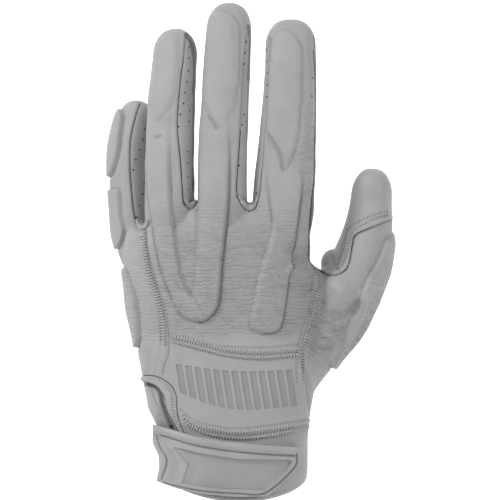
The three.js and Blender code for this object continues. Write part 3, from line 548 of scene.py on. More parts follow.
def digit_rings(digit, inset=0.0, sides=40, straight=30, domed=9):
    """Rings of points round a digit, from its root to its domed tip."""
    line = smooth_line(digit["stations"], 16)
    lengths = np.concatenate([[0], np.cumsum(np.linalg.norm(np.diff(line[:, :3], axis=0), axis=1))])
    roll = math.radians(digit["roll"])
    nail = np.array([-math.sin(roll), -math.cos(roll), 0])
    side_share, up_share = section(sides)
    total, tip = lengths[-1], digit["tip"]
    stops = [((total - tip) * i / straight, 1.0) for i in range(straight + 1)]
    for i in range(1, domed + 1):
        turn = i / (domed + 0.25) * math.pi / 2
        stops.append((total - tip + (tip - inset) * math.sin(turn), math.cos(turn) ** 0.8))
    rings = []
    for place, scale in stops:
        here = np.array([np.interp(place, lengths, line[:, k]) for k in range(5)])
        ahead = np.array([np.interp(min(place + 1, total), lengths, line[:, k]) for k in range(3)])
        behind = np.array([np.interp(max(place - 1, 0), lengths, line[:, k]) for k in range(3)])
        forward = (ahead - behind) / np.linalg.norm(ahead - behind)
        up = nail - nail.dot(forward) * forward
        up /= np.linalg.norm(up)
        side = np.cross(forward, up)
        half_width, half_depth = (here[3] / 2 - inset) * scale, (here[4] / 2 - inset) * scale
        rings.append(here[:3] + np.outer(side_share * half_width, side) + np.outer(up_share * half_depth, up))
    return np.array(rings)


def hand_section(z, inset, side, up):
    """Points of the hand's section at a height."""
    table = np.array(HAND, float)
    left, right, back, palm, arch, rise = (np.interp(z, table[:, 0], table[:, k]) for k in range(1, 7))
    x = (left + right) / 2 + side * ((right - left) / 2 - inset)
    y = (back + palm) / 2 - up * ((palm - back) / 2 - inset) + arch * (side**2 - 0.4)
    return np.stack([x, y, z + rise * side], axis=1)


def hand_rings(inset=0.0, sides=72):
    """Rings of points round the hand, from the cuff to the webs."""
    side, up = section(sides)
    return np.array([hand_section(z, inset, side, up) for z in smooth_line(HAND, 4)[:, 0]])


def web_rings(inset=0.0, sides=28):
    """Rings of points round the thumb's web, across the hand."""
    angle = np.linspace(0, 2 * math.pi, sides, endpoint=False)
    rings = []
    for x, y, z, half_height, half_depth in smooth_line(WEB, 4):
        up = (half_height - inset) * np.sin(angle)
        rings.append(np.stack([np.full(sides, x), y + (half_depth - inset) * np.cos(angle), z + up], axis=1))
    return np.array(rings)


def local(where, digit):
    """Side and up distances of points from a digit's middle line, and its half sizes there."""
    line = smooth_line(digit["stations"], 8)
    x, y, width, depth = (np.interp(where[:, 2], line[:, 2], line[:, k]) for k in (0, 1, 3, 4))
    roll = math.radians(digit["roll"])
    dx, dy = where[:, 0] - x, where[:, 1] - y
    side = dx * math.cos(roll) - dy * math.sin(roll)
    up = -dx * math.sin(roll) - dy * math.cos(roll)
    return side, up, width / 2, depth / 2


def nearest_digit(where):
    """Number of the digit whose middle line is nearest, measured in its own half sizes."""
    reach = []
    for digit in DIGITS.values():
        side, up, half_width, half_depth = local(where, digit)
        reach.append(np.hypot(side / half_width, up / half_depth))
    return np.argmin(reach, axis=0)


def size_setting(name, description, default):
    """A length that a user can change, in metres."""
    return FloatProperty(name=name, description=description, default=default, unit="LENGTH")


def grey_setting(name, description, shade):
    """A colour that a user can change. All of the glove's own are greys."""
    return FloatVectorProperty(name=name, description=description, subtype="COLOR", size=3, default=(shade,) * 3)


class GloveForm(bpy.types.PropertyGroup):
    """Sizes of the glove that a user would change."""

    grid: size_setting("Leather grid", "Grid of the leather's mesh", 0.0005)
    wall: size_setting("Leather", "Thickness of leather and lining", 0.0016)
    pad_swell: FloatProperty(name="Pad swell", description="Height of the foam pads, as a share", default=1.25)
    stitch: size_setting("Stitch", "Length of a stitch", 0.00085)
    stitch_step: size_setting("Stitch step", "From stitch to stitch", 0.0013)
    thread: size_setting("Thread", "Thickness of the thread", 0.00045)
    needle_hole: size_setting("Needle hole", "Width of a needle hole", 0.0006)
    air_hole: size_setting("Air hole", "Width of an air hole", 0.0009)
    hem: size_setting("Hem", "Thickness of the cuff's rolled hem", 0.0019)


class GloveFinish(bpy.types.PropertyGroup):
    """Colours of the glove and how rough they are."""

    leather: grey_setting("Leather", "Colour of the leather", 0.4)
    palm: grey_setting("Palm", "Colour of the palm", 0.4)
    rubber: grey_setting("Tab", "Colour of the moulded tab", 0.39)
    thread: grey_setting("Thread", "Colour of the thread", 0.58)
    # Painted shade: edge is the near-black shadow in seam gaps and air holes, hole the dark grey of the needle
    # holes
    edge: grey_setting("Cut edges", "Colour of cut edges and air holes", 0.03)
    hole: grey_setting("Needle holes", "Colour of the needle holes", 0.11)
    inside: grey_setting("Inside", "Colour of the inside", 0.16)
    roughness: FloatProperty(name="Roughness", description="Roughness of the leather", default=0.58, min=0, max=1)


class Shader:
    """Short hand for wiring one material's nodes."""

    def __init__(self, name):
        self.material = bpy.data.materials.new(name)
        self.material.use_nodes = True
        self.nodes = self.material.node_tree.nodes
        self.links = self.material.node_tree.links
        self.skin = self.nodes["Principled BSDF"]
        self.place = self.nodes.new("ShaderNodeTexCoord").outputs["Object"]

    def fill(self, node, inputs):
        """Gives each input its value, or wires it to the socket that feeds it."""
        for key, value in inputs.items():
            if isinstance(value, bpy.types.NodeSocket):
                self.links.new(value, node.inputs[key])
            else:
                node.inputs[key].default_value = value

    def add(self, kind, inputs, **settings):
        """A new node with its settings and inputs."""
        node = self.nodes.new("ShaderNode" + kind)
        for key, value in settings.items():
            setattr(node, key, value)
        self.fill(node, inputs)
        return node

    def cloud(self, scale, detail=2.0, stretch=(1, 1, 1), turn=0.0):
        """Soft noise, stretched and turned."""
        mapping = self.add(
            "Mapping", {"Vector": self.place, "Scale": [1 / share for share in stretch], "Rotation": (0, turn, 0)},
            vector_type="TEXTURE",
        )
        noise_inputs = {"Vector": mapping.outputs["Vector"], "Scale": scale, "Detail": detail}
        return self.add("TexNoise", noise_inputs).outputs["Fac"]

    def lines(self, inputs, turn=0.0):
        """Level lines that wander, turned. The inputs say how fine they are and how far they wander."""
        mapping = self.add("Mapping", {"Vector": self.place, "Rotation": (0, -turn, 0)})
        wave_inputs = {"Vector": mapping.outputs["Vector"]} | inputs
        return self.add("TexWave", wave_inputs, bands_direction="Z").outputs["Fac"]

    def cells(self, scale):
        """Distance from the borders of small cells."""
        inputs = {"Vector": self.place, "Scale": scale}
        return self.add("TexVoronoi", inputs, feature="DISTANCE_TO_EDGE").outputs["Distance"]

    def painted(self, name):
        """What was painted on the points under this name."""
        return self.add("Attribute", {}, attribute_name=name).outputs["Fac"]

    def ramp(self, source, low, high, out_low, out_high):
        """Takes low to out_low and high to out_high, and nothing past them."""
        limits = {"From Min": low, "From Max": high, "To Min": out_low, "To Max": out_high}
        return self.add("MapRange", {"Value": source} | limits).outputs["Result"]

    def maths(self, operation, a, b):
        """One sum or product of two sockets or numbers."""
        return self.add("Math", {0: a, 1: b}, operation=operation).outputs["Value"]

    def colour(self, colour, shade):
        """The skin's colour, lighter and darker by a shade."""
        tint = self.add("VectorMath", {0: colour, "Scale": shade}, operation="SCALE")
        self.fill(self.skin, {"Base Color": tint.outputs["Vector"]})

    def bump(self, height, distance, strength, under=None):
        """Rises and dips of the skin, on top of others where there are any."""
        inputs = {"Height": height, "Distance": distance, "Strength": strength}
        if under is not None:
            inputs["Normal"] = under
        normal = self.add("Bump", inputs).outputs["Normal"]
        self.fill(self.skin, {"Normal": normal})
        return normal


def leather_finish(name, colour, roughness, grain=0.5, wrinkle=1.0, turn=0.0, gathers=185):
    """Soft matt leather: fine pores, wrinkles where painted, at a turn from level, and painted shade in the
    creases, seams and hollows.
    """
    shader = Shader(name)
    mottle = shader.ramp(shader.cloud(90, 3), 0.3, 0.7, 0.95, 1.05)
    speck = shader.ramp(shader.cloud(1100, 2), 0.3, 0.7, 0.965, 1.035)
    # Painted shade: the painted share darkens the colour where shade falls in creases, seams and hollows
    shade_tint = shader.ramp(shader.painted("painted_shade"), 0, 1, 1, 0.3)
    shader.colour(colour, shader.maths("MULTIPLY", shader.maths("MULTIPLY", mottle, speck), shade_tint))
    pore = shader.ramp(shader.cells(1300), 0, 0.25, 0, 0.6)
    fine = shader.ramp(shader.cloud(900, 4), 0.3, 0.7, 0, 1)
    under = shader.bump(shader.maths("ADD", pore, fine), 0.00008 * grain, 0.6)
    # Gathers that wander and break up
    broken = shader.ramp(shader.cloud(170, 1.5, (1, 1, 2.6), turn), 0.35, 0.65, 0.3, 1)
    level = shader.lines({"Scale": gathers, "Distortion": 5.5, "Detail": 1.5, "Detail Scale": 1.6}, turn)
    cross = shader.maths("MULTIPLY", shader.maths("MULTIPLY", level, broken), shader.painted("wrinkle"))
    shader.bump(cross, 0.0009 * wrinkle, 1.0, under)
    rough = shader.ramp(shader.cloud(160), 0.3, 0.7, roughness - 0.05, roughness + 0.06)
    shader.fill(shader.skin, {
        "Roughness": rough, "Specular IOR Level": 0.4, "Sheen Weight": 0.1, "Sheen Roughness": 0.5})
    return shader.material


def cloth_finish(name, colour):
    """Elastic webbing: ribs across the band with a fine weave."""
    shader = Shader(name)
    shader.fill(shader.skin, {"Roughness": 0.8, "Sheen Weight": 0.25})
    shader.colour(colour, shader.ramp(shader.cloud(130, 2), 0.3, 0.7, 0.94, 1.06))
    fine = shader.ramp(shader.cloud(1600, 2), 0.3, 0.7, 0, 0.7)
    rib = shader.lines({"Scale": 320, "Distortion": 0.6})
    shader.bump(shader.maths("ADD", rib, fine), 0.00009, 0.7)
    return shader.material


def plain_finish(name, colour, roughness, grain_scale, grain_depth, variation=0.05, paints_shade=False):
    """Moulded rubber, thread, and the dark painted shade of seam gaps and holes: one colour with a fine uneven
    surface, darkened by painted shade where asked.
    """
    shader = Shader(name)
    shade = shader.ramp(shader.cloud(70), 0.3, 0.7, 1 - variation, 1 + variation)
    if paints_shade:
        # Painted shade from the points' painted shade share
        shade = shader.maths("MULTIPLY", shade, shader.ramp(shader.painted("painted_shade"), 0, 1, 1, 0.35))
    shader.fill(shader.skin, {"Roughness": roughness})
    shader.colour(colour, shade)
    shader.bump(shader.cloud(grain_scale, 3), grain_depth, 0.6)
    return shader.material


def finish_piece(piece, material, slot, *nodes):
    """Gives a piece its material and its place in the frame, and hides the CAD parts that it stands for."""
    piece.data.materials.clear()
    piece.data.materials.append(material)
    select_only(piece)
    bpy.ops.object.shade_smooth()
    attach(piece, "root")
    if nodes:
        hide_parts(*nodes)


def lump(centre, size, lean):
    """A ball that is stretched, leant sideways and moved."""
    bpy.ops.object.select_all(action="DESELECT")
    bpy.ops.mesh.primitive_uv_sphere_add(segments=24, ring_count=16, radius=1)
    piece = bpy.context.object
    ball = points_of(piece) * MM * np.array(size)
    across = ball[:, 0] * math.cos(lean) + ball[:, 2] * math.sin(lean)
    upwards = ball[:, 2] * math.cos(lean) - ball[:, 0] * math.sin(lean)
    place_points(piece, np.stack([across, ball[:, 1], upwards], axis=1) + np.array(centre))
    return piece


def leather_body(form):
    """The whole outer form in one mesh: tubes for the hand, web and digits, grown together."""
    parts = [tube("hand", hand_rings()), tube("web", web_rings())]
    parts += [tube(name, digit_rings(digit)) for name, digit in DIGITS.items()]
    parts += [lump(**fold) for fold in (ROLLED_FOLD, *FINGER_WEBS)]
    select_only(*parts)
    bpy.ops.object.join()
    body = bpy.context.object
    body.name = "leather_body"
    add_modifier(body, "REMESH", mode="VOXEL", voxel_size=form.grid * 1)
    # Smooth more where the fingers and the thumb grow out of the hand
    where = points_of(body)
    webs = smoothstep(96, 112, where[:, 2]) * smoothstep(140, 130, where[:, 2]) * (where[:, 0] < 36)
    thumb_root = bell(np.hypot(where[:, 0] - 38, (where[:, 2] - 84) * 0.7), 15)
    weight = np.clip(np.maximum(webs, thumb_root), 0, 1)
    group = body.vertex_groups.new(name="webs")
    for level in range(1, 11):
        chosen = np.nonzero(np.round(weight * 10) == level)[0].tolist()
        if chosen:
            group.add(chosen, level / 10, "REPLACE")
    add_modifier(body, "SMOOTH", factor=0.5, iterations=28, vertex_group="webs")
    add_modifier(body, "SMOOTH", factor=0.5, iterations=4)
    return body


def rib_depth(at):
    """How far inside a grip rib of the wrist panel each point lies, in millimetres."""
    top, bottom = smooth_line(RIB_TOP_PX), smooth_line(RIB_BOTTOM_PX)
    low = np.interp(at[:, 0], top[:, 0], top[:, 1])
    high = np.interp(at[:, 0], bottom[:, 0], bottom[:, 1])
    upright = at[:, 0] + RIB_LEAN * (at[:, 1] - RIB_LEVEL)
    number = np.clip(np.round((upright - RIB_FIRST_X) / RIB_STEP), 0, round((RIB_LAST_X - RIB_FIRST_X) / RIB_STEP))
    across = RIB_WIDTH / 2 - np.abs(upright - RIB_FIRST_X - number * RIB_STEP)
    return np.minimum(np.minimum(across, at[:, 1] - low), high - at[:, 1]) * PIXEL


def refine(body):
    """Halves the grid where stitch rows and grip ribs lie on the back of the hand."""
    centres = face_centres(body)
    at = pixels(centres)
    fine = rib_depth(at) > -0.8
    lines = [smooth_line(row) for row in LAP_ROWS_PX.values()]
    lines += [rounded(outline + outline[:1]) for outline, _, edge, _ in PADS_PX.values() if edge < 2]
    for line in lines:
        rows = near(at, line, 2)
        fine[rows] |= np.abs(signed_distance(at[rows], line)[0]) * PIXEL < 1.5
    choose_faces(body, fine & (centres[:, 1] < THUMB_SEAM_Y))
    bpy.ops.mesh.subdivide(number_cuts=1)
    bpy.ops.object.mode_set(mode="OBJECT")


class Relief:
    """How far the leather stands out at each point, how much shade is painted on it there and how wrinkled it is.
    """

    def __init__(self, where, facing):
        self.where, self.facing = where, facing
        self.at = pixels(where)
        self.front = smoothstep(0.02, 0.4, -facing[:, 1])
        self.round_side = smoothstep(-0.75, -0.25, -facing[:, 1])
        self.height = np.zeros(len(where))
        # Share of shade painted into the colour: 0 none, 1 the darkest
        self.painted_shade = np.zeros(len(where))

    def beside(self, points, reach):
        """The rows of points near a line, with their distance from it, past its ends and along it."""
        line = smooth_line(points)
        rows = near(self.at, line, reach)
        return rows, *(value * PIXEL for value in signed_distance(self.at[rows], line))

    def darken(self, rows, share):
        # Paints shade: the darker share wins
        self.painted_shade[rows] = np.maximum(self.painted_shade[rows], share)

    def along(self, points, terms, share, fade=1.5, pucker=0.0):
        """Raises the leather along a line and paints shade beside it, with terms as in SEAM_FORMS."""
        rows, away, past, travelled = self.beside(points, LINE_REACH)
        share = share[rows] * bell(past, fade)
        if pucker:
            wave = np.cos(2 * math.pi * travelled / PUCKER_STEP)
            self.height[rows] += pucker * wave * bell(away, PUCKER_WIDTH) * share
        for offset, rise, width, dark in terms:
            profile = bell(away - offset, width)
            self.height[rows] += rise * profile * share
            self.darken(rows, dark * profile * share)

    def pad(self, name, pad_swell):
        """Swells one foam pad. Its edges that face right or down are steeper, with painted shade at the foot."""
        outline, swell, edge, turns = PADS_PX[name]
        ring = rounded(outline)
        rows = near(self.at, ring, 4)
        at = self.at[rows]
        deep = depth_inside(at, ring) * PIXEL
        right, lower = (depth_inside(at + probe, ring) * PIXEL < deep for probe in PAD_PROBES_PX)
        steep = 0.5 * right + 0.5 * lower
        share = (self.round_side if turns else self.front)[rows]
        if name in PAD_RISES_PX:
            share = share * (0.12 + 0.88 * smoothstep(*PAD_RISES_PX[name], at[:, 1]))
        width = edge * (1.15 - 0.5 * steep)
        crown = smoothstep(-0.15 * width, width, deep)
        dome = np.clip(deep / PAD_DOME_WIDTH, 0, 1)
        rise = swell * pad_swell * (0.88 * crown + 0.12 * dome)
        self.height[rows] = np.maximum(self.height[rows], rise * share)
        foot = bell(deep + 0.35, 0.5) * share * (0.25 + 0.75 * steep) * min(swell / FULL_SWELL, 1)
        self.height[rows] -= 0.6 * foot
        # Painted shade at the foot, deepest on the steep edges that face away from the light
        self.darken(rows, 0.6 * foot)

    def wrap_edge(self):
        """The wrap's edge lies over the thumb panel."""
        rows, away, past, _ = self.beside(WRAP_SEAM_PX, 12)
        above = smoothstep(0.3, -0.3, away) * bell(np.minimum(away, 0), 9) * bell(past, 2)
        self.height[rows] += WRAP_RISE * above * self.round_side[rows] * (self.where[rows, 0] > 37)

    def slit(self):
        """The slit gapes, with painted shade in its opening."""
        rows, away, _, _ = self.beside(SLIT_PX, 5)
        gape = smoothstep(1.35, 0.45, np.abs(away - 0.4)) * self.front[rows]
        self.height[rows] -= SLIT_DEPTH * gape
        self.darken(rows, 1.2 * gape)

    def ribs(self):
        """The grooves between the grip ribs, with painted shade in them and a darker line of painted shade round
        each.
        """
        deep = rib_depth(self.at)
        rib = smoothstep(-0.1, 0.3, deep) * self.front
        self.height -= RIB_DEPTH * rib
        self.darken(slice(None), np.maximum(0.27 * rib, 0.5 * bell(deep, 0.24) * self.front))

    def shade(self, points, width, dark):
        """Paints a band of shadow with firm borders."""
        rows, away, past, _ = self.beside(points, 5)
        shown = smoothstep(-0.04, -0.14, self.facing[rows, 1]) * bell(past, 2)
        self.darken(rows, dark * smoothstep(width, width * 0.75, np.abs(away)) * shown)

    def wrinkles(self):
        """Shares of cross wrinkles, with painted shade that darkens the leather a little where they are dense."""
        column, row = self.at.T
        back = smoothstep(170, 260, row) * smoothstep(342, 328, row) * smoothstep(140, 168, column)
        back *= smoothstep(320, 314, column)
        beside_index = smoothstep(292, 305, column) * smoothstep(85, 140, row) * (row < 262) * (column < 322)
        panel = (column > 306) * smoothstep(282, 312, row) * smoothstep(384, 346, row)
        panel *= 1 - 0.9 * bell(np.hypot(column - 343, row - 291) * PIXEL, 8)
        thumb_pad = smoothstep(360, 372, column) * smoothstep(250, 262, row)
        bulge = (column > 318) * smoothstep(236, 262, row) * smoothstep(312, 290, row)
        ulnar = (column < 168) * smoothstep(235, 260, row) * smoothstep(350, 335, row)
        share = np.maximum.reduce([
            np.full(len(row), WRINKLE_LEAST), 0.5 * back, 0.5 * beside_index, 0.6 * panel, 0.3 * thumb_pad,
            0.08 * bulge, 0.3 * ulnar])
        share *= 0.3 + 0.7 * smoothstep(0.3, -0.1, self.facing[:, 1])
        rows, away, _, _ = self.beside(THUMB_RIDGE_PX, 4)
        share[rows] *= 1 - 0.9 * bell(away, 1.8)
        # Painted shade among the dense wrinkles of the back and the thumb panel
        self.darken(slice(None), np.maximum(0.13 * back, 0.1 * panel))
        return share


def relief(where, facing, pad_swell):
    """Height, painted shade share and wrinkle share of the leather at each point."""
    made = Relief(where, facing)
    for name in PADS_PX:
        made.pad(name, pad_swell)
    for seam, turns, terms in SEAM_FORMS:
        made.along(seam, terms, made.round_side if turns else made.front, 0.8)
    for row in LAP_ROWS_PX.values():
        made.along(row, [(0, -0.3, 0.5, 0.17)], made.front, 0.5, PUCKER)
    for name in ("back_upper", "wrist_upper"):
        made.along(LAP_ROWS_PX[name], [(1.1, 0.4, 0.9, 0)], made.round_side)
    for row, length, _ in LADDERS_PX:
        made.along(row, [(0, 0.2, length / 2, 0.18)], made.front, 0.6, PUCKER)
    for points, rise, width, dark in FOLDS_PX:
        made.along(points, [(0, rise, width, dark)], made.front, 1.6)
    # Bulge of the thumb panel below the web
    column, row = made.at.T
    made.height += BULGE_RISE * bell((column - 340) * PIXEL, 6) * bell((row - 290) * PIXEL, 5.5) * made.front
    made.wrap_edge()
    made.slit()
    made.ribs()
    for points, width, dark in SHADES_PX:
        made.shade(points, width, dark)
    wrinkle = made.wrinkles()
    return made.height, np.clip(made.painted_shade, 0, 1), wrinkle


REGIONS = [
    "back_leather", "ulnar_leather", "thumb_leather", "thumb_wrap_leather", "wrist_leather", "palm_leather",
    "fourchette_index_middle_leather", "fourchette_middle_ring_leather", "fourchette_ring_little_leather",
    "cuff_band", "slit_tongue_leather", "cut_away",
]
BACK, ULNAR, THUMB, WRAP, WRIST, PALM, INDEX_MIDDLE, MIDDLE_RING, RING_LITTLE, CUFF, TONGUE, CUT = range(12)
REGION_NODES = {
    BACK: ("shell_leather", ("back_panel", "pad_index_tip", "pad_middle_tip", "pad_ring_tip", "pad_ring_middle",
                             "pad_index_hand")),
    ULNAR: ("shell_leather", ("ulnar_panel", "pad_little_tip", "pad_little_knuckle", "pad_ulnar")),
    THUMB: ("shell_leather", ("thumb_panel", "pad_thumb")),
    WRAP: ("palm_leather", ("thumb_wrap",)),
    WRIST: ("panel_leather", ("wrist_panel",)),
    PALM: ("palm_leather", ("palm",)),
    INDEX_MIDDLE: ("panel_leather", ("fourchette_index_middle",)),
    MIDDLE_RING: ("panel_leather", ("fourchette_middle_ring",)),
    RING_LITTLE: ("panel_leather", ("fourchette_ring_little",)),
    CUFF: ("elastic", ("cuff",)),
    TONGUE: ("elastic", ("slit_tongue",)),
}
FINGER_SEAMS_PX = {"ring": RING_SEAM_PX, "middle": MIDDLE_SEAM_PX, "little": LITTLE_SEAM_PX, "index": INDEX_SEAM_PX}
# The fourchette beside each finger: on the thumb side 1, on the little finger side -1
NEIGHBOURS = {
    ("index", -1): INDEX_MIDDLE, ("middle", 1): INDEX_MIDDLE, ("middle", -1): MIDDLE_RING,
    ("ring", 1): MIDDLE_RING, ("ring", -1): RING_LITTLE, ("little", 1): RING_LITTLE,
}


def cuff_edge(x):
    """Height of the cuff's mouth, which curves up to its sides."""
    u = (x - CUFF_LOWEST_X) / CUFF_HALF_WIDTH
    return CUFF_SAG * u**2 + CUFF_CORNER * np.clip(u, 0, 1) ** 6


def crossing(seam, given, axis):
    """Where a seam lies on the photograph's other axis, at given columns (axis 0) or rows (axis 1)."""
    line = smooth_line(seam)
    line = line[np.argsort(line[:, axis])]
    return np.interp(given, line[:, axis], line[:, 1 - axis])


def column_at(seam, rows):
    """Column of a seam that runs down the photograph."""
    return crossing(seam, rows, 1)


def row_at(seam, columns):
    """Row of a seam that runs across the photograph."""
    return crossing(seam, columns, 0)


def region_of(where):
    """Which piece of leather each place belongs to."""
    at = pixels(where)
    column, row = at[:, 0], at[:, 1]
    x, y, z = where.T
    region = np.full(len(where), PALM)
    front = y < PALM_SEAM_Y
    region[front] = BACK
    left = column < column_at(ULNAR_SEAM_PX, row)
    region[front & left] = ULNAR
    region[front & ~left & (row > row_at(BACK_SEAM_PX, column))] = WRIST
    region[(y < THUMB_SEAM_Y) & (column > column_at(THUMB_SEAM_PX, row)) & (row > THUMB_SEAM_PX[0][1] - 2)] = THUMB
    region[(y < THUMB_SEAM_Y) & (x > THUMB_FROM_X) & (row <= THUMB_SEAM_PX[0][1])] = THUMB
    wrap = signed_distance(at, smooth_line(WRAP_SEAM_PX))[0] < 0
    region[(x > WRAP_FROM_X) & (z > WRAP_FROM_Z) & wrap] = WRAP
    wrist = np.where(front, PIXEL_Y - row_at(WRIST_SEAM_PX, column), CUFF_TOP / PIXEL) * PIXEL
    region[z < wrist] = CUFF
    in_slit = (column < column_at(SLIT_PX, row)) & (row > row_at(SLIT_PX[:4], column)) & (row > SLIT_FROM_ROW)
    region[front & in_slit] = TONGUE
    digit = nearest_digit(where)
    fingers = (z > ROOT_Z) & (x < FINGERS_TO_X)
    for number, (name, shape) in enumerate(DIGITS.items()):
        if name not in FINGER_SEAMS_PX:
            continue
        side, up, _, _ = local(where, shape)
        mine = (digit == number) & fingers
        tip = shape["stations"][-1][2]
        height = SIDE_SEAM * (1 - smoothstep(tip - SEAM_FALL[0], tip - SEAM_FALL[1], z))
        region[mine] = np.where(up[mine] < -height[mine], PALM, ULNAR if name == "little" else BACK)
        shown = -1 if name == "index" else 1
        edge = column_at(FINGER_SEAMS_PX[name], row)
        for way in (-1, 1):
            if (name, way) not in NEIGHBOURS:
                region[mine & (side * way > 0) & (up < OUTER_SEAMS[name])] = PALM
                continue
            above = way * (column - edge) < 0 if way == shown else up > height
            strip = mine & (side * way > 0) & ~above & (up > -height) & (row > FOURCHETTE_TOP_ROW)
            region[strip] = NEIGHBOURS[name, way]
    region[z < cuff_edge(x) + HEM_COVER] = CUT
    return region


def smooth_borders(piece, region, rounds=14):
    """Evens out the steps that the grid leaves along the borders between panels."""
    # Only points where exactly two border edges meet are moved
    mesh = piece.data
    edge_of_loop = read_all(mesh.loops, "edge_index", kind=np.int32)
    region_of_loop = np.repeat(region, read_all(mesh.polygons, "loop_total", kind=np.int32))
    low = np.full(len(mesh.edges), len(REGIONS))
    high = np.full(len(mesh.edges), -1)
    np.minimum.at(low, edge_of_loop, region_of_loop)
    np.maximum.at(high, edge_of_loop, region_of_loop)
    border = read_all(mesh.edges, "vertices", 2, np.int32)[low != high]
    where = points_of(piece)
    moving = np.bincount(border.ravel(), minlength=len(where)) == 2
    for _ in range(rounds):
        total = np.zeros_like(where)
        np.add.at(total, border[:, 0], where[border[:, 1]])
        np.add.at(total, border[:, 1], where[border[:, 0]])
        where[moving] = 0.5 * where[moving] + 0.25 * total[moving]
    place_points(piece, where)


def split_off(body, number):
    """Moves the faces of one panel out of the body into a piece of their own."""
    chosen = read_all(body.data.attributes["panel"].data, "value", kind=np.int32) == number
    if not chosen.any():
        raise RuntimeError(f"no leather left for {REGIONS[number]}")
    choose_faces(body, chosen)
    bpy.ops.mesh.separate(type="SELECTED")
    bpy.ops.object.mode_set(mode="OBJECT")
    piece = next(o for o in bpy.context.selected_objects if o is not body)
    piece.name = REGIONS[number]
    piece.data.name = REGIONS[number]
    piece.vertex_groups.clear()
    piece.data.attributes.remove(piece.data.attributes["panel"])
    return piece


class Drape:
    """Lays lines of the photograph on the pieces that show there."""

    def __init__(self, *names):
        points, faces = [], []
        for name in names:
            start = len(points)
            points += [v.co.copy() for v in bpy.data.objects[name].data.vertices]
            faces += [[start + i for i in face.vertices] for face in bpy.data.objects[name].data.polygons]
        self.tree = BVHTree.FromPolygons(points, faces)

    def spot(self, column, row):
        """Point and normal of the surface that a pixel of the photograph shows, or None."""
        x, z = place_of(column, row)
        return self.tree.ray_cast(Vector((x * MM, IN_FRONT_Y, z * MM)), Vector((0, 1, 0)))[:2]

    def along(self, line_px, step):
        """Points on the surface along a line, evenly spaced, with normals and directions."""
        line = smooth_line(line_px)
        travelled = np.concatenate([[0], np.cumsum(np.hypot(*np.diff(line, axis=0).T))])
        fine = step / MM / PIXEL * 0.25
        found = []
        for place in np.arange(0, travelled[-1] + fine, fine):
            column, row = (np.interp(place, travelled, line[:, k]) for k in (0, 1))
            point, normal = self.spot(column, row)
            if point is not None and normal.y < -0.04:
                found.append((point, normal))
        spaced = []
        gone = step
        for (a, normal), (b, _) in zip(found[:-1], found[1:]):
            gap = (b - a).length
            if gap > 3 * step or gap == 0:
                continue
            if gone >= step:
                gone = 0.0
                spaced.append((a.copy(), normal.copy(), (b - a).normalized()))
            gone += gap
        return spaced

    def band(self, table, step, rounds):
        """Places along a band, smoothed so that it bridges gaps below it, and the band's half widths there."""
        line = smooth_line(table)
        places = self.along(np.array(table)[:, :2], step)
        if len(places) < 4:
            raise RuntimeError("a band lies on nothing")
        point = np.array([spot for spot, _, _ in places])
        normal = np.array([facing for _, facing, _ in places])
        nearest = [np.argmin(np.hypot(*(line[:, :2] - at).T)) for at in pixels(point / MM)]
        halves = line[nearest, 2] * PIXEL * MM
        for _ in range(rounds):
            normal[1:-1] = (normal[:-2] + 2 * normal[1:-1] + normal[2:]) / 4
            point[1:-1] = (point[:-2] + 2 * point[1:-1] + point[2:]) / 4
        way = np.gradient(point, axis=0)
        rows = zip(point, normal, way)
        return [(Vector(p), Vector(n).normalized(), Vector(w).normalized()) for p, n, w in rows], halves


def laid_strip(name, places, half_widths, thickness, lanes, lift=0.0):
    """A strip laid along places on the surface, crowned across and closed underneath."""
    share = np.linspace(-1, 1, lanes)
    crown = np.sqrt(np.clip(1 - np.abs(share) ** 3, 0, 1))
    rings = []
    for (point, normal, way), half in zip(places, half_widths):
        across = np.array(normal.cross(way).normalized()) * half
        up = np.array(normal)
        middle = np.array(point) + up * lift
        top = [middle + across * s + up * thickness * c for s, c in zip(share, crown)]
        under = [middle + across * s * 0.9 - up * thickness * 0.6 for s in share[::-1]]
        rings.append(np.array(top + under))
    return tube(name, np.array(rings) / MM)


def add_copies(name, pattern, places, lift):
    """Copies of a small piece laid on the surface, as one mesh."""
    base = np.array([v.co for v in pattern.data.vertices])
    faces = [list(face.vertices) for face in pattern.data.polygons]
    points, all_faces = [], []
    for i, (point, normal, way) in enumerate(places):
        across = normal.cross(way).normalized()
        along = across.cross(normal).normalized()
        points.append(base @ np.array([along, across, normal]) + np.array(point + normal * lift))
        all_faces += [[i * len(base) + k for k in face] for face in faces]
    bpy.data.objects.remove(pattern)
    mesh = bpy.data.meshes.new(name)
    mesh.from_pydata(np.vstack(points).tolist(), [], all_faces)
    piece = bpy.data.objects.new(name, mesh)
    bpy.context.collection.objects.link(piece)
    return piece


def stitch_pattern(form, length=1.0):
    """One stitch lying along X: a short thread that dips into the leather at both ends."""
    half, thick = form.stitch * length / 2, form.thread / 2
    bpy.ops.object.select_all(action="DESELECT")
    bpy.ops.mesh.primitive_cylinder_add(
        vertices=6, radius=thick, depth=half * 2, rotation=(0, math.pi / 2, 0), end_fill_type="TRIFAN"
    )
    piece = bpy.context.object
    bpy.ops.object.transform_apply(rotation=True)
    bpy.ops.object.mode_set(mode="EDIT")
    for place in (-0.5, 0, 0.5):
        bpy.ops.mesh.select_all(action="SELECT")
        bpy.ops.mesh.bisect(plane_co=(place * half, 0, 0), plane_no=(1, 0, 0))
    bpy.ops.object.mode_set(mode="OBJECT")
    for vertex in piece.data.vertices:
        share = abs(vertex.co.x) / half
        vertex.co.z -= thick * 1.4 * share**2
        vertex.co.y *= 1 - 0.35 * share**3
    return piece


def hole_pattern(width):
    """A hole as painted shade: a shallow dark cup with its rim just above the leather."""
    bpy.ops.object.select_all(action="DESELECT")
    bpy.ops.mesh.primitive_uv_sphere_add(segments=10, ring_count=6, radius=width / 2)
    piece = bpy.context.object
    for vertex in piece.data.vertices:
        vertex.co.z *= 0.3
    return piece


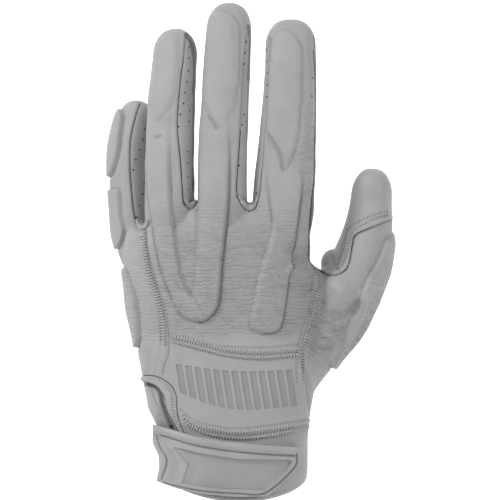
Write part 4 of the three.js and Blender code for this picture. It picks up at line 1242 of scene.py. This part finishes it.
def wrist_layer(name, inner, outer, outline, back=False):
    """A piece of a layer round the wrist, cut to an outline that is seen from the front. Millimetres."""
    side, up = section(61, half=True)
    if back:
        side, up = -side, -up
    heights = np.linspace(-2, 40, 29)
    rings = [
        np.vstack([hand_section(z, -outer, side, up), hand_section(z, -inner, side, up)[::-1]]) for z in heights
    ]
    layer = tube(name, np.array(rings))
    bpy.ops.object.select_all(action="DESELECT")
    bpy.ops.mesh.primitive_circle_add(vertices=len(outline), fill_type="NGON", radius=1)
    cutter = bpy.context.object
    near_y, far_y = (-0.02, 60) if back else (-60, 0.02)
    place_points(cutter, np.array([(x, near_y, z) for x, z in outline]))
    bpy.ops.object.mode_set(mode="EDIT")
    bpy.ops.mesh.select_all(action="SELECT")
    bpy.ops.mesh.extrude_region_move(TRANSFORM_OT_translate={"value": (0, (far_y - near_y) * MM, 0)})
    bpy.ops.mesh.select_all(action="SELECT")
    bpy.ops.mesh.normals_make_consistent(inside=False)
    bpy.ops.object.mode_set(mode="OBJECT")
    add_modifier(layer, "BOOLEAN", object=cutter, operation="INTERSECT", solver="EXACT")
    bpy.data.objects.remove(cutter)
    return layer


class GLOVE_OT_leather(bpy.types.Operator):
    """Models the leather of the glove as one form and cuts it into its panels"""

    bl_idname = "glove.leather"
    bl_label = "Leather panels"

    def execute(self, context):
        form, finish = context.scene.glove_form, context.scene.glove_finish
        body = leather_body(form)
        refine(body)
        region = region_of(face_centres(body))
        smooth_borders(body, region)
        body.data.attributes.new("panel", "INT", "FACE").data.foreach_set("value", region.astype(np.int32))
        where, facing = points_of(body), normals_of(body)
        height, painted_shade, wrinkle = relief(where, facing, form.pad_swell)
        uneven = np.array([noise.noise(Vector(p) * UNEVEN_SCALE) for p in where]) * UNEVEN_RISE
        folds = np.array([noise.noise(Vector(p * WRINKLE_SCALES)) for p in where]) * WRINKLE_RISE * wrinkle
        place_points(body, where + facing * (height + uneven + folds)[:, None])
        # Painted shade of the creases, seams and hollows, for the shaders
        paint(body, "painted_shade", painted_shade)
        paint(body, "wrinkle", wrinkle)
        rough = finish.roughness
        finishes = {
            "shell_leather": leather_finish("shell_leather", finish.leather, rough),
            "panel_leather": leather_finish("panel_leather", finish.leather, rough - 0.04, wrinkle=0.5),
            "palm_leather": leather_finish("palm_leather", finish.palm, rough - 0.1, grain=0.7, wrinkle=0.5),
            "elastic": leather_finish("cuff_leather", finish.leather, rough, grain=0.8, wrinkle=0.5),
        }
        slanting = leather_finish("thumb_leather", finish.leather, rough, turn=THUMB_WRINKLE_TURN, gathers=260)
        for number in range(CUT):
            piece = split_off(body, number)
            slot, nodes = REGION_NODES[number]
            finish_piece(piece, slanting if number == THUMB else finishes[slot], slot, *nodes)
            if number == PALM:
                add_modifier(piece, "DECIMATE", ratio=0.5)
        bpy.data.objects.remove(body)
        return {"FINISHED"}


class GLOVE_OT_inside(bpy.types.Operator):
    """Models the inner face of the leather, which shows through the cuff"""

    bl_idname = "glove.inside"
    bl_label = "Inside"

    def execute(self, context):
        form, finish = context.scene.glove_form, context.scene.glove_finish
        inset = form.wall / MM
        parts = [tube("inner_hand", hand_rings(inset, sides=48)), tube("inner_web", web_rings(inset, sides=20))]
        for name, digit in DIGITS.items():
            parts.append(tube("inner_" + name, digit_rings(digit, inset, sides=24, straight=16, domed=5)))
        select_only(*parts)
        bpy.ops.object.join()
        piece = bpy.context.object
        piece.name = "inside_leather"
        add_modifier(piece, "REMESH", mode="VOXEL", voxel_size=0.0015)
        add_modifier(piece, "SMOOTH", factor=0.5, iterations=4)
        centres = face_centres(piece)
        choose_faces(piece, centres[:, 2] < cuff_edge(centres[:, 0]) + 0.5)
        bpy.ops.mesh.delete(type="FACE")
        bpy.ops.mesh.select_all(action="SELECT")
        bpy.ops.mesh.flip_normals()
        bpy.ops.object.mode_set(mode="OBJECT")
        finish_piece(piece, plain_finish("lining_face", finish.inside, 0.85, 1400, 0.0001), "palm_leather")
        return {"FINISHED"}


class GLOVE_OT_hem(bpy.types.Operator):
    """Rolls the hem round the cuff's mouth"""

    bl_idname = "glove.hem"
    bl_label = "Hem"

    def execute(self, context):
        form, finish = context.scene.glove_form, context.scene.glove_finish
        side, up = section(160)
        across = np.linspace(0, 2 * math.pi, 10, endpoint=False)
        thick = form.hem / MM / 2
        flat = hand_section(0, thick * 0.6, side, up)
        edge = np.stack([flat[:, 0], flat[:, 1], cuff_edge(flat[:, 0]) + thick], axis=1)
        way = np.roll(edge, -1, axis=0) - np.roll(edge, 1, axis=0)
        way /= np.linalg.norm(way, axis=1)[:, None]
        outwards = np.cross(way, (0, 0, 1))
        outwards /= np.linalg.norm(outwards, axis=1)[:, None]
        rings = []
        for point, out, forward in zip(edge, outwards, way):
            upwards = np.cross(out, forward)
            rings.append(
                point + np.outer(np.cos(across) * thick, out) + np.outer(np.sin(across) * thick * 1.3, upwards)
            )
        rings.append(rings[0])
        piece = tube("cuff_hem", np.array(rings), capped=False)
        finish_piece(piece, plain_finish("hem_leather", finish.leather, 0.6, 1200, 0.00008), "elastic")
        return {"FINISHED"}


class GLOVE_OT_binding(bpy.types.Operator):
    """Lays the cloth binding along the slit"""

    bl_idname = "glove.binding"
    bl_label = "Slit binding"

    def execute(self, context):
        finish = context.scene.glove_finish
        drape = Drape("ulnar_leather", "wrist_leather", "cuff_band", "slit_tongue_leather")
        places, halves = drape.band(BINDING_PX, step=0.0008, rounds=12)
        piece = laid_strip("slit_binding_cloth", places, halves, thickness=0.0011, lanes=11, lift=0.0002)
        cloth = leather_finish("binding_cloth", finish.leather, 0.66, grain=1.2, wrinkle=0)
        finish_piece(piece, cloth, "panel_leather", "slit_binding")
        return {"FINISHED"}


class GLOVE_OT_web_lips(bpy.types.Operator):
    """Lays the lips of the fourchettes round the webs between the fingers"""

    bl_idname = "glove.web_lips"
    bl_label = "Web lips"

    def execute(self, context):
        finish = context.scene.glove_finish
        drape = Drape(*REGIONS[:-1])
        leather = leather_finish("lip_leather", finish.leather, 0.55, wrinkle=0)
        for name, table in WEB_LIPS_PX.items():
            places, halves = drape.band(table, step=0.0005, rounds=4)
            lip = laid_strip(name, places, halves, thickness=0.001, lanes=9, lift=0.0002)
            finish_piece(lip, leather, "panel_leather")
        return {"FINISHED"}


def even_layer(layer):
    """Gives a layer round the wrist an even grid and soft edges."""
    add_modifier(layer, "REMESH", mode="VOXEL", voxel_size=LAYER_GRID * 1)
    add_modifier(layer, "SMOOTH", factor=0.5, iterations=3)


def press_tab(tab):
    """Presses the grooves and the sunken field into the tab, and paints shade in the grooves, round the field's rim
    and on its floor.
    """
    where, facing = points_of(tab), normals_of(tab)
    at = pixels(where)
    out = smoothstep(0.35, 0.75, -facing[:, 1])
    out = np.maximum(out, smoothstep(0.5, 0.9, -facing[:, 0]) * (where[:, 0] < -30))
    height = np.zeros(len(where))
    painted_shade = np.zeros(len(where))
    for points, rise, width, dark in TAB_LINES_PX:
        away, past, _ = signed_distance(at, smooth_line(points))
        share = bell(away * PIXEL, width) * bell(past * PIXEL, 0.5) * out
        height += rise * share
        painted_shade = np.maximum(painted_shade, dark * share)
    field = np.array(TAB_FIELD_PX, float)
    deep = depth_inside(at, field) * PIXEL
    from_left = np.abs(signed_distance(at, field[[0, -1, -2]])[0]) * PIXEL
    slope = np.where(deep > 0, np.minimum(deep / FIELD_EDGE, from_left / FIELD_LEFT_SLOPE), 0)
    height -= FIELD_DEPTH * np.clip(slope, 0, 1) * out
    # Painted shade round the field's rim and on its floor
    rim, floor = 0.6 * bell(deep - 0.1, 0.3), 0.14 * smoothstep(0, 0.5, deep)
    painted_shade = np.maximum(painted_shade, np.maximum(rim, floor) * out)
    place_points(tab, where + facing * height[:, None])
    paint(tab, "painted_shade", painted_shade)


class GLOVE_OT_closure(bpy.types.Operator):
    """Wraps the elastic strap round the wrist and puts the moulded tab on it"""

    bl_idname = "glove.closure"
    bl_label = "Strap and tab"

    def execute(self, context):
        finish = context.scene.glove_finish
        strap = wrist_layer("wrist_strap_band", STRAP_GAP, STRAP_GAP + STRAP_THICK, STRAP_FRONT)
        back = wrist_layer("strap_back", STRAP_GAP, STRAP_GAP + STRAP_THICK, STRAP_BACK, back=True)
        select_only(strap, back)
        bpy.ops.object.join()
        even_layer(strap)
        webbing = cloth_finish("elastic_webbing", [share * 0.9 for share in finish.leather])
        finish_piece(strap, webbing, "elastic", "wrist_strap")

        outline = [place_of(*pixel) for pixel in TAB_OUTLINE_PX]
        inner = 2 * STRAP_GAP + STRAP_THICK
        tab = wrist_layer("closure_tab_rubber", inner, inner + TAB_THICK, outline)
        even_layer(tab)
        press_tab(tab)
        rubber = plain_finish("moulded_rubber", finish.rubber, 0.48, 1100, 0.00007, paints_shade=True)
        finish_piece(tab, rubber, "moulded_rubber", "closure_tab")
        return {"FINISHED"}


class GLOVE_OT_stitching(bpy.types.Operator):
    """Sews the rows of thread, lays dark cups of painted shade for the needle holes and air holes, and lays strips
    of painted shadow in the gaps along the seams
    """

    bl_idname = "glove.stitching"
    bl_label = "Stitching"

    def execute(self, context):
        form, finish = context.scene.glove_form, context.scene.glove_finish
        drape = Drape(*REGIONS[:-1], "slit_binding_cloth")
        thread = plain_finish("thread", finish.thread, 0.7, grain_scale=2500, grain_depth=0.00003)
        # Painted shadow: near black, for the strips in the seam gaps and for the air holes
        dark = plain_finish("painted_gap_shade", finish.edge, 0.8, grain_scale=1500, grain_depth=0.00003)
        # Painted shade of the needle holes
        needle = plain_finish("needle_hole", finish.hole, 0.8, grain_scale=1500, grain_depth=0.00003)

        rows = [drape.along(row, form.stitch_step) for row in LAP_ROWS_PX.values()]
        stitches = [place for row in rows for place in row]
        piece = add_copies("seam_stitching", stitch_pattern(form), stitches, form.thread * 0.2)
        finish_piece(piece, thread, "panel_leather")
        between = []
        for row in rows:
            for (a, normal, way), (b, _, _) in zip(row[:-1], row[1:]):
                if (b - a).length < 2 * form.stitch_step:
                    between.append(((a + b) / 2, normal, way))
        holes = add_copies("needle_holes", hole_pattern(form.needle_hole), between, 0.00002)
        finish_piece(holes, needle, "panel_leather")

        for number, (row, length, slant) in enumerate(LADDERS_PX, 1):
            rungs = []
            for point, normal, way in drape.along(row, form.stitch_step):
                across = normal.cross(way).normalized()
                rungs.append((point, normal, (across + way * slant).normalized()))
            pattern = stitch_pattern(form, length * MM / form.stitch)
            ladder = add_copies(f"crossing_threads_{number}", pattern, rungs, form.thread * 0.35)
            finish_piece(ladder, thread, "panel_leather")

        spots = []
        for pixel in AIR_HOLES_PX:
            point, normal = drape.spot(*pixel)
            if point is not None:
                spots.append((point, normal, normal.cross(Vector((1, 0, 0.2))).normalized()))
        holes = add_copies("air_holes", hole_pattern(form.air_hole), spots, 0.00004)
        finish_piece(holes, dark, "panel_leather")
        for name, line in EDGES_PX.items():
            places = drape.along(line, 0.0007)
            if len(places) < 4:
                raise RuntimeError(f"{name} lies on nothing")
            half = EDGE_HALF_WIDTHS.get(name, 0.2) * MM
            strip = laid_strip(name, places, [half] * len(places), thickness=0.00012, lanes=3)
            finish_piece(strip, dark, "panel_leather")
        return {"FINISHED"}


class GLOVE_OT_stage(bpy.types.Operator):
    """Sets the pale floor, the backdrop, the soft lights and the camera"""

    bl_idname = "glove.stage"
    bl_label = "Stage"

    def execute(self, context):
        scene = context.scene
        scene.view_settings.view_transform = "Standard"
        world = bpy.data.worlds.new("studio")
        world.use_nodes = True
        world.node_tree.nodes["Background"].inputs["Color"].default_value = WHITE
        world.node_tree.nodes["Background"].inputs["Strength"].default_value = WORLD_LIGHT
        scene.world = world
        paper = dict(roughness=0.9, grain_scale=30, grain_depth=0.0001)
        pale = plain_finish("pale_floor", (0.85, 0.85, 0.85), variation=0.01, **paper)
        card = plain_finish("white_card", (0.9, 0.9, 0.9), variation=0, **paper)
        card.node_tree.nodes["Principled BSDF"].inputs["Emission Color"].default_value = WHITE
        card.node_tree.nodes["Principled BSDF"].inputs["Emission Strength"].default_value = 1.0
        for name, place, turn, finish in (
            ("floor", (0, 0, FLOOR_Z), 0, pale),
            ("backdrop", (0, BACKDROP_Y, 0), math.pi / 2, card),
        ):
            bpy.ops.object.select_all(action="DESELECT")
            bpy.ops.mesh.primitive_plane_add(size=20, location=place, rotation=(turn, 0, 0))
            sheet = context.object
            sheet.name = name
            sheet.data.materials.append(finish)
        for name, place, size, power in LAMPS:
            lamp = bpy.data.lights.new(name, "AREA")
            lamp.size = size
            lamp.energy = power
            holder = bpy.data.objects.new(name, lamp)
            context.collection.objects.link(holder)
            holder.location = place
            holder.rotation_euler = (Vector(LIT_POINT) - Vector(place)).to_track_quat("-Z", "Y").to_euler()
        lens = bpy.data.cameras.new("camera")
        lens.lens, lens.sensor_width = LENS, SENSOR
        eye = bpy.data.objects.new("camera", lens)
        context.collection.objects.link(eye)
        distance = PHOTO_SIZE * PIXEL * MM * lens.lens / lens.sensor_width
        x, z = place_of(PHOTO_SIZE / 2, PHOTO_SIZE / 2)
        eye.location = (x * MM, -distance, z * MM)
        eye.rotation_euler = (math.pi / 2, 0, 0)
        scene.camera = eye
        return {"FINISHED"}


class GLOVE_PT_pieces(bpy.types.Panel):
    """Buttons for the glove's pieces"""

    bl_label = "Glove"
    bl_idname = "GLOVE_PT_pieces"
    bl_space_type = "VIEW_3D"
    bl_region_type = "UI"
    bl_category = "Glove"

    def draw(self, context):
        for settings in (context.scene.glove_form, context.scene.glove_finish):
            for key in settings.__annotations__:
                self.layout.prop(settings, key)
        for operator in OPERATORS:
            self.layout.operator(operator.bl_idname)


OPERATORS = (
    GLOVE_OT_stage, GLOVE_OT_leather, GLOVE_OT_inside, GLOVE_OT_hem, GLOVE_OT_binding, GLOVE_OT_web_lips,
    GLOVE_OT_closure, GLOVE_OT_stitching,
)
CLASSES = (GloveForm, GloveFinish, *OPERATORS, GLOVE_PT_pieces)


def register():
    for cls in CLASSES:
        bpy.utils.register_class(cls)
    bpy.types.Scene.glove_form = PointerProperty(type=GloveForm)
    bpy.types.Scene.glove_finish = PointerProperty(type=GloveFinish)


def unregister():
    del bpy.types.Scene.glove_finish
    del bpy.types.Scene.glove_form
    for cls in reversed(CLASSES):
        bpy.utils.unregister_class(cls)


def main():
    register()
    bpy.ops.glove.stage()
    bpy.ops.glove.leather()
    bpy.ops.glove.inside()
    bpy.ops.glove.hem()
    bpy.ops.glove.binding()
    bpy.ops.glove.web_lips()
    bpy.ops.glove.closure()
    bpy.ops.glove.stitching()


if __name__ == "__main__":
    main()
